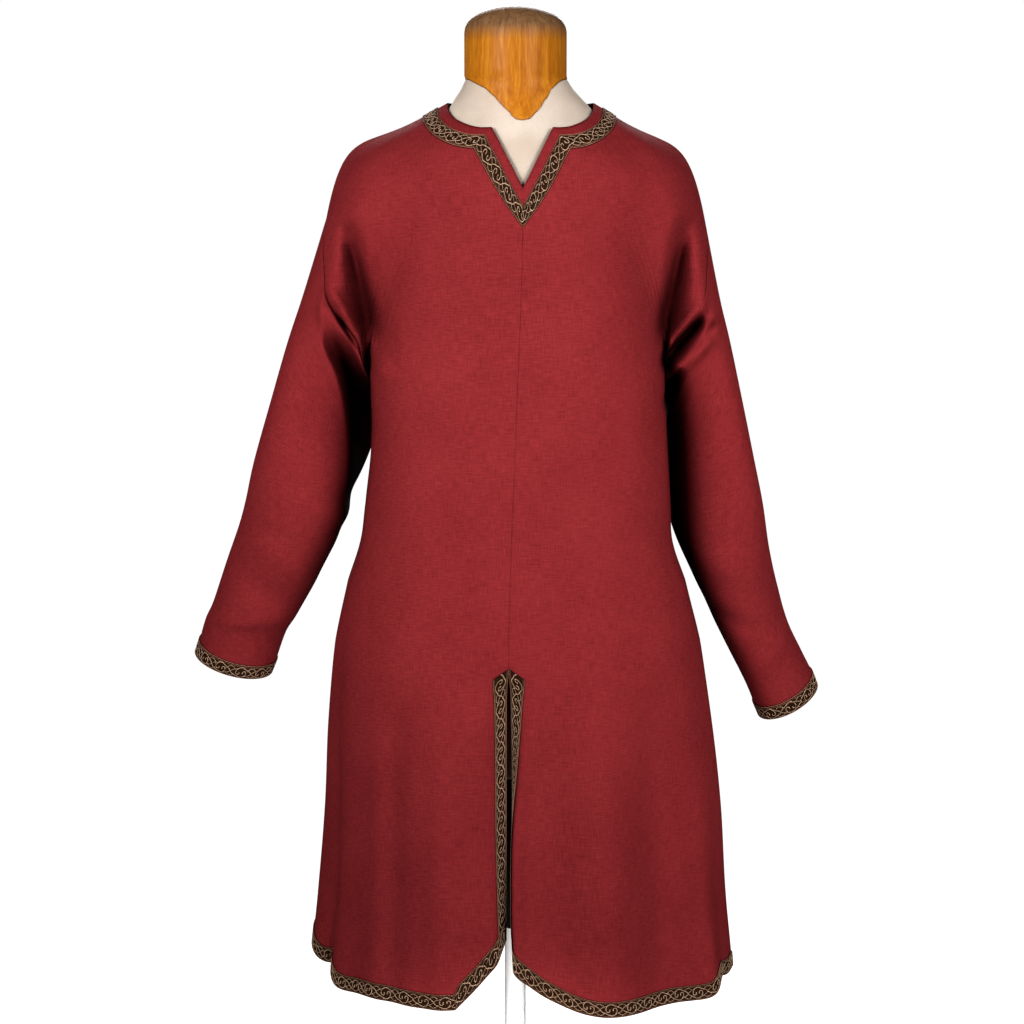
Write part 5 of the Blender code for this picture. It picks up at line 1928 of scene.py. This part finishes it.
@dataclass
class DressForm:
    """Cloth-covered torso with a varnished wooden neck cap."""

    jersey: Material
    wood: Material
    segments: int = 128
    torso_rings: int = 150
    weld: float = 1e-6
    # height, middle x, half width, front depth, back depth, squareness
    table: Rows = (
        (1.5445, 0.0005, 0.0572, 0.0520, 0.054, 2.00),
        (1.5400, 0.0008, 0.0576, 0.0522, 0.055, 2.00),
        (1.5270, 0.0020, 0.0650, 0.0535, 0.058, 2.00),
        (1.5160, 0.0035, 0.0740, 0.0555, 0.060, 2.00),
        (1.5075, 0.0050, 0.0805, 0.0580, 0.062, 1.80),
        (1.4990, 0.0060, 0.0880, 0.0620, 0.066, 1.50),
        (1.4900, 0.0055, 0.1045, 0.0660, 0.069, 1.50),
        (1.4760, 0.0045, 0.1345, 0.0720, 0.073, 1.55),
        (1.4630, 0.0040, 0.1590, 0.0770, 0.077, 1.60),
        (1.4520, 0.0035, 0.1760, 0.0810, 0.080, 1.70),
        (1.4400, 0.0030, 0.1850, 0.0850, 0.083, 1.80),
        (1.4250, 0.0030, 0.1830, 0.0900, 0.086, 1.95),
        (1.4000, 0.0030, 0.1730, 0.0970, 0.091, 2.10),
        (1.3600, 0.0030, 0.1580, 0.1030, 0.096, 2.20),
        (1.3000, 0.0030, 0.1480, 0.1090, 0.101, 2.30),
        (1.2200, 0.0030, 0.1440, 0.1110, 0.102, 2.40),
        (1.1300, 0.0025, 0.1380, 0.1040, 0.096, 2.30),
        (1.0400, 0.0015, 0.1300, 0.0930, 0.086, 2.20),
        (0.9600, 0.0005, 0.1400, 0.0960, 0.094, 2.20),
        (0.8600, 0.0000, 0.1580, 0.1040, 0.108, 2.20),
        (0.7400, 0.0000, 0.1500, 0.0980, 0.100, 2.20),
    )
    cap_half_width: float = 0.0588
    cap_front: float = 0.0570
    cap_back: float = 0.0585
    cap_top_z: float = 1.6232
    cap_edge_z: float = 1.5395
    cap_segments: int = 256
    cap_inner_rings: int = 10
    cap_wall_rings: int = 8
    cap_wall_start: float = 0.004
    dome_rings: int = 16
    # share of the half width towards +X and how far the cap's front edge drops there
    tongue: Rows = (
        (-1.00, 0.0000), (-0.90, 0.0020), (-0.76, 0.0060), (-0.54, 0.0125),
        (-0.35, 0.0225), (-0.27, 0.0330), (-0.20, 0.0425), (-0.10, 0.0472),
        (0.07, 0.0482), (0.19, 0.0464), (0.29, 0.0388), (0.37, 0.0270),
        (0.56, 0.0140), (0.76, 0.0056), (0.90, 0.0018), (1.00, 0.0000),
    )
    clearance: float = 0.0006
    # how far the cap's edge stands off the neck, at the sides and at the tongue
    lip: Row = (0.0011, 0.0024)
    # the rounding under that edge: its drop, and the share of the lip that it reaches
    lip_under: Row = (0.0002, 0.5)
    lip_rise: float = 0.001
    # share of the way up from the edge to the cap's straight side, and share of the lip there
    lip_rings: Rows = (
        (0.0, 0.82), (0.02, 0.95), (0.06, 1.0), (0.2, 1.0), (0.4, 1.0), (0.6, 1.0), (0.8, 1.0),
    )
    dome_height: float = 0.0322
    dome_power: float = 0.93

    def ring(self, z: Array, angle: Array, grow: Array | float) -> Array:
        """Superellipse of the form at a height, grown outwards by a distance.

        Args:
            z: Height.
            angle: Angles round the middle.
            grow: The distance.

        Returns:
            The points.
        """
        z, angle = np.broadcast_arrays(z, angle)
        rows = np.array(self.table)[::-1]
        middle, half, front, back, squareness = (
            np.interp(z, rows[:, 0], values) for values in rows.T[1:]
        )
        power = 2.0 / squareness
        x = half * np.sign(np.cos(angle)) * np.abs(np.cos(angle)) ** power
        depth = np.where(np.sin(angle) < 0, front, back)
        y = depth * np.sign(np.sin(angle)) * np.abs(np.sin(angle)) ** power
        flat = np.stack((x, y), axis=-1)
        flat = flat + grow * unit(flat)
        return np.stack((flat[..., 0] + middle, flat[..., 1], z), axis=-1)

    def closed(self, rings: Array) -> MeshParts:
        """Rings from the bottom up as one closed body, each end drawn in to its middle.

        Args:
            rings: Rings of points, from the bottom up.

        Returns:
            The closed body.
        """
        first = rings[:1].mean(axis=1, keepdims=True) + 0.0 * rings[:1]
        last = rings[-1:].mean(axis=1, keepdims=True) + 0.0 * rings[-1:]
        rings = np.concatenate((first, rings, last), axis=0)
        return MeshParts.grid(rings, rings[..., [0, 2]], loop=True)

    def torso(self) -> Piece:
        """The covered torso and neck.

        Returns:
            The piece.
        """
        heights = np.linspace(self.table[-1][0], self.table[0][0], self.torso_rings)
        rings = self.ring(heights[:, None], round_turn(self.segments)[None, :], 0.0)
        return build_mesh("covered_torso", self.closed(rings), [self.jersey], self.weld)

    def cap(self) -> Piece:
        """The wooden cap with its tongue down the front of the neck.

        Its rings run down the neck inside, round the lip, up the straight side and over the dome,
        which narrows by cos(tilt)^power while it rises by sin(tilt)^power.

        Returns:
            The cap.
        """
        angle = round_turn(self.cap_segments)
        front = np.sin(angle) < 0
        x = self.cap_half_width * np.cos(angle)
        y = np.where(front, self.cap_front, self.cap_back) * np.sin(angle)
        shares, drops = np.array(self.tongue).T
        drop = np.where(front, np.interp(np.cos(angle), shares, drops), 0.0)
        bottom = self.cap_edge_z - drop
        lip = (self.lip[0] + (self.lip[1] - self.lip[0]) * drop / drops.max())[:, None]
        neck_top = self.table[0][0]
        rings = [self.ring(np.array(neck_top), angle, self.clearance)]
        rings[0][:, 2] += self.clearance
        for share in np.linspace(0.0, 1.0, self.cap_inner_rings + 1)[1:]:
            level = neck_top + (bottom - neck_top) * share
            rings.append(self.ring(level, angle, self.clearance))
        under, reach = self.lip_under
        rings.append(self.ring(bottom - under, angle, reach * lip))
        for share, reach in self.lip_rings:
            level = bottom + (self.cap_edge_z - bottom) * share + self.lip_rise
            rings.append(self.ring(level, angle, reach * lip))
        dome_z = self.cap_top_z - self.dome_height
        wall_z = self.cap_edge_z + self.cap_wall_start
        for z in np.linspace(wall_z, dome_z, self.cap_wall_rings):
            rings.append(np.stack((x, y, np.full_like(x, z)), axis=-1))
        for tilt in np.linspace(0.0, math.pi / 2, self.dome_rings)[1:-1]:
            scale = math.cos(tilt) ** self.dome_power
            z = dome_z + self.dome_height * math.sin(tilt) ** self.dome_power
            rings.append(np.stack((x * scale, y * scale, np.full_like(x, z)), axis=-1))
        return build_mesh("wooden_neck_cap", self.closed(np.array(rings)), [self.wood], self.weld)


@dataclass
class Stand:
    """Pole and round base under the form."""

    lacquer: Material
    # painted shade: black on the pole where the skirt hides it, so the slit shows darkness there
    dark: Material
    # height where the white pole gives way to the painted shade black
    split_z: float = 0.535
    pole_radius: float = 0.0125
    pole_low: float = 0.0183
    pole_high: float = 0.7397
    pole_edge: float = 0.0008
    base_radius: float = 0.190
    base_height: float = 0.018
    rounding: float = 0.005
    rounding_steps: int = 6
    segments: int = 96
    weld: float = 1e-6

    def turned(self, name: str, profile: Array) -> Piece:
        """Turns a profile of radii and heights, from the bottom up, round the Z axis.

        Args:
            name: Of the piece.
            profile: Radii and heights, from the bottom up.

        Returns:
            The piece.
        """
        angle = round_turn(self.segments)
        radius, z = profile[:, :1], profile[:, 1:]
        spokes = (radius * np.cos(angle), radius * np.sin(angle), z + 0.0 * angle)
        points = np.stack(spokes, axis=-1)
        parts = MeshParts.grid(points, points[..., :2], loop=True)
        return build_mesh(name, parts, [self.lacquer], self.weld)

    def pole(self) -> Piece:
        """The pole, white below the hem, and black above it as painted shade where the skirt hides
        it.

        Returns:
            The piece.
        """
        radius, edge = self.pole_radius, self.pole_edge
        profile = (
            (0.0, self.pole_low),
            (radius - edge, self.pole_low),
            (radius, self.pole_low + edge),
            (radius, self.split_z - edge),
            (radius - edge, self.split_z),
            (radius, self.split_z + edge),
            (radius, self.pole_high - edge),
            (radius - edge, self.pole_high),
            (0.0, self.pole_high),
        )
        pole = self.turned("lacquered_pole", np.array(profile))
        mesh = pole.data
        mesh.materials.append(self.dark)
        places = np.empty(len(mesh.vertices) * 3)
        mesh.vertices.foreach_get("co", places)
        corners = np.empty(len(mesh.loops), int)
        mesh.loops.foreach_get("vertex_index", corners)
        starts = np.empty(len(mesh.polygons), int)
        mesh.polygons.foreach_get("loop_start", starts)
        lowest = np.minimum.reduceat(places.reshape(-1, 3)[corners, 2], starts)
        # faces above split_z take the painted shade black
        upper = lowest > self.split_z - edge / 2
        mesh.polygons.foreach_set("material_index", upper.astype(int))
        return pole

    def base(self) -> Piece:
        """The base, a disc with rounded edges.

        Returns:
            The piece.
        """
        bend = np.linspace(0.0, math.pi / 2, self.rounding_steps)
        inner = self.base_radius - self.rounding
        out, up = self.rounding * np.sin(bend), self.rounding * (1 - np.cos(bend))
        low = np.stack((inner + out, up), axis=-1)
        high = np.stack((inner + out, self.base_height - up), axis=-1)[::-1]
        profile = np.vstack(((0.0, 0.0), low, high, (0.0, self.base_height)))
        return self.turned("lacquered_base", profile)


# ---- studio


@dataclass
class Studio:
    """White floor and surroundings, soft lights in front, behind and near the floor, and camera."""

    floor_size: float = 60.0
    floor_colour: str = "B8B8B8"
    camera_place: Row = (-0.004, -2.8, 1.402)
    camera_tilt: float = 82.59
    camera_lens: float = 84.375
    camera_sensor: float = 36.0
    ambient: float = 0.07
    # place x, y, z, width, height, watts and spread in degrees of each soft light: two in front,
    # one behind, and a small one near the floor for the pole
    softboxes: Rows = (
        (-1.3, -2.0, 1.85, 0.8, 0.8, 5.5, 51.0), (1.3, -2.0, 1.85, 0.8, 0.8, 5.2, 51.0),
        (0.0, 2.6, 2.4, 1.2, 1.2, 40.0, 100.0), (0.0, -1.3, 0.06, 0.2, 0.06, 2.0, 34.0),
    )
    aims: Rows = ((0.01, 0.0, 1.27), (0.05, 0.0, 1.01), (0.0, 0.0, 1.1), (0.0, 0.0, 0.24))

    def floor(self) -> Piece:
        """The floor, a wide white sheet that the camera sees glowing, so that it stays white.

        Returns:
            The piece.
        """
        half = self.floor_size / 2
        corners = half * np.array((((-1, -1, 0), (1, -1, 0)), ((-1, 1, 0), (1, 1, 0))))
        material, tree, shader = new_material("white_studio_floor")
        shader.inputs["Base Color"].default_value = srgb(self.floor_colour)
        shader.inputs["Roughness"].default_value = 1.0
        shader.inputs["Specular IOR Level"].default_value = 0.0
        shader.inputs["Emission Color"].default_value = (1.0, 1.0, 1.0, 1.0)
        seen = add_node(tree, "ShaderNodeLightPath").outputs["Is Camera Ray"]
        tree.links.new(seen, shader.inputs["Emission Strength"])
        return build_mesh("studio_floor", MeshParts.grid(corners, corners[..., :2]), [material])

    def world(self) -> None:
        """White surroundings, dimmer as a light than they look."""
        world = bpy.data.worlds.new("white_studio")
        bpy.context.scene.world = world
        world.use_nodes = True
        tree = world.node_tree
        seen = add_node(tree, "ShaderNodeLightPath").outputs["Is Camera Ray"]
        limits = {"To Min": self.ambient, "To Max": 1.0}
        strength = add_node(tree, "ShaderNodeMapRange", limits, {"Value": seen})
        background = tree.nodes["Background"]
        background.inputs["Color"].default_value = (1.0, 1.0, 1.0, 1.0)
        tree.links.new(strength.outputs["Result"], background.inputs["Strength"])

    def lights(self) -> None:
        """The soft lights, each turned to its aim."""
        for number, (softbox, aim) in enumerate(zip(self.softboxes, self.aims)):
            data = bpy.data.lights.new(f"softbox_{number}", "AREA")
            data.shape = "RECTANGLE"
            data.size, data.size_y, data.energy = softbox[3:6]
            data.spread = math.radians(softbox[6])
            lamp = bpy.data.objects.new(f"softbox_{number}", data)
            bpy.context.scene.collection.objects.link(lamp)
            lamp.location = softbox[:3]
            way = Vector(aim) - lamp.location
            lamp.rotation_euler = way.to_track_quat("-Z", "Y").to_euler()

    def camera(self) -> None:
        """The camera at the photograph's angle."""
        data = bpy.data.cameras.new("camera")
        data.sensor_width = self.camera_sensor
        data.lens = self.camera_lens
        made = bpy.data.objects.new("camera", data)
        made.location = self.camera_place
        made.rotation_euler = (math.radians(self.camera_tilt), 0.0, 0.0)
        bpy.context.scene.collection.objects.link(made)
        bpy.context.scene.camera = made


def dress(piece: Piece, slot: str, *nodes: str) -> Piece:
    """Lets a piece ride on the body and stand for CAD nodes.

    Args:
        piece: The piece.
        slot: Not used.
        nodes: Names of the CAD nodes.

    Returns:
        The piece.
    """
    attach(piece, "root")
    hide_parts(*nodes)
    LOG.info("%s: %d faces", piece.name, len(piece.data.polygons))
    return piece


def dress_pairs(pieces: list[Piece], slot: str, scene_words: str, node_words: str) -> list[Piece]:
    """Dresses the pieces of both sides, whose nodes' names differ from theirs in some words.

    Args:
        pieces: The pieces.
        slot: Their slot.
        scene_words: The words in the pieces' names.
        node_words: The words in their nodes' names.

    Returns:
        The pieces.
    """
    return [dress(piece, slot, piece.name.replace(scene_words, node_words)) for piece in pieces]


def main() -> None:
    """Builds the tunic, its braids, the form, the stand and the studio."""
    logging.basicConfig(level=logging.INFO, format="%(message)s")
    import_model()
    bpy.context.scene.view_settings.view_transform = "Standard"
    body = BodyCut()
    sleeve = SleeveCut(body=body)
    tunic = Tunic(body, sleeve, LinenFinish().make())
    fronts = dress_pairs(tunic.fronts(), "linen", "linen_", "")
    back = dress(tunic.back(), "linen", "back")
    sleeves = dress_pairs(tunic.sleeves(), "linen", "linen_", "")
    braid = Braid(
        ThreadFinish("dark_woven_ribbon", ("180B04", "301A0C")).make(),
        ThreadFinish("tan_scroll_thread", ("8E6E54", "CCA88C")).make(),
        ThreadFinish("tan_edge_cord", ("8A5C46", "AC7A62")).make(),
    )
    trims = Trims(body, sleeve, braid)
    neck = dress(trims.neck(), "braid", "neck_trim")
    hem = dress(trims.hem(), "braid", "hem_trim")
    slits = dress_pairs(trims.slits(), "braid", "woven_slit_braid", "slit_trim")
    cuffs = dress_pairs(trims.cuffs(), "braid", "woven_cuff_braid", "cuff_trim")
    form = DressForm(JerseyFinish().make(), VarnishedWoodFinish().make())
    torso = dress(form.torso(), "form_cloth", "torso_form")
    dress(form.cap(), "varnished_wood", "neck_cap")
    # painted shade: a black copy of the lacquer for the pole inside the skirt
    shade_coat_name = "black_powder_coated_steel"
    black = LacquerFinish(shade_coat_name, ("050505", "0A0A0A"), gloss=(0.9, 0.05))
    stand = Stand(LacquerFinish().make(), black.make())
    dress(stand.pole(), "painted_steel", "stand_pole")
    dress(stand.base(), "painted_steel", "stand_base")
    studio = Studio()
    studio.floor()
    studio.world()
    studio.lights()
    studio.camera()


if __name__ == "__main__":
    main()
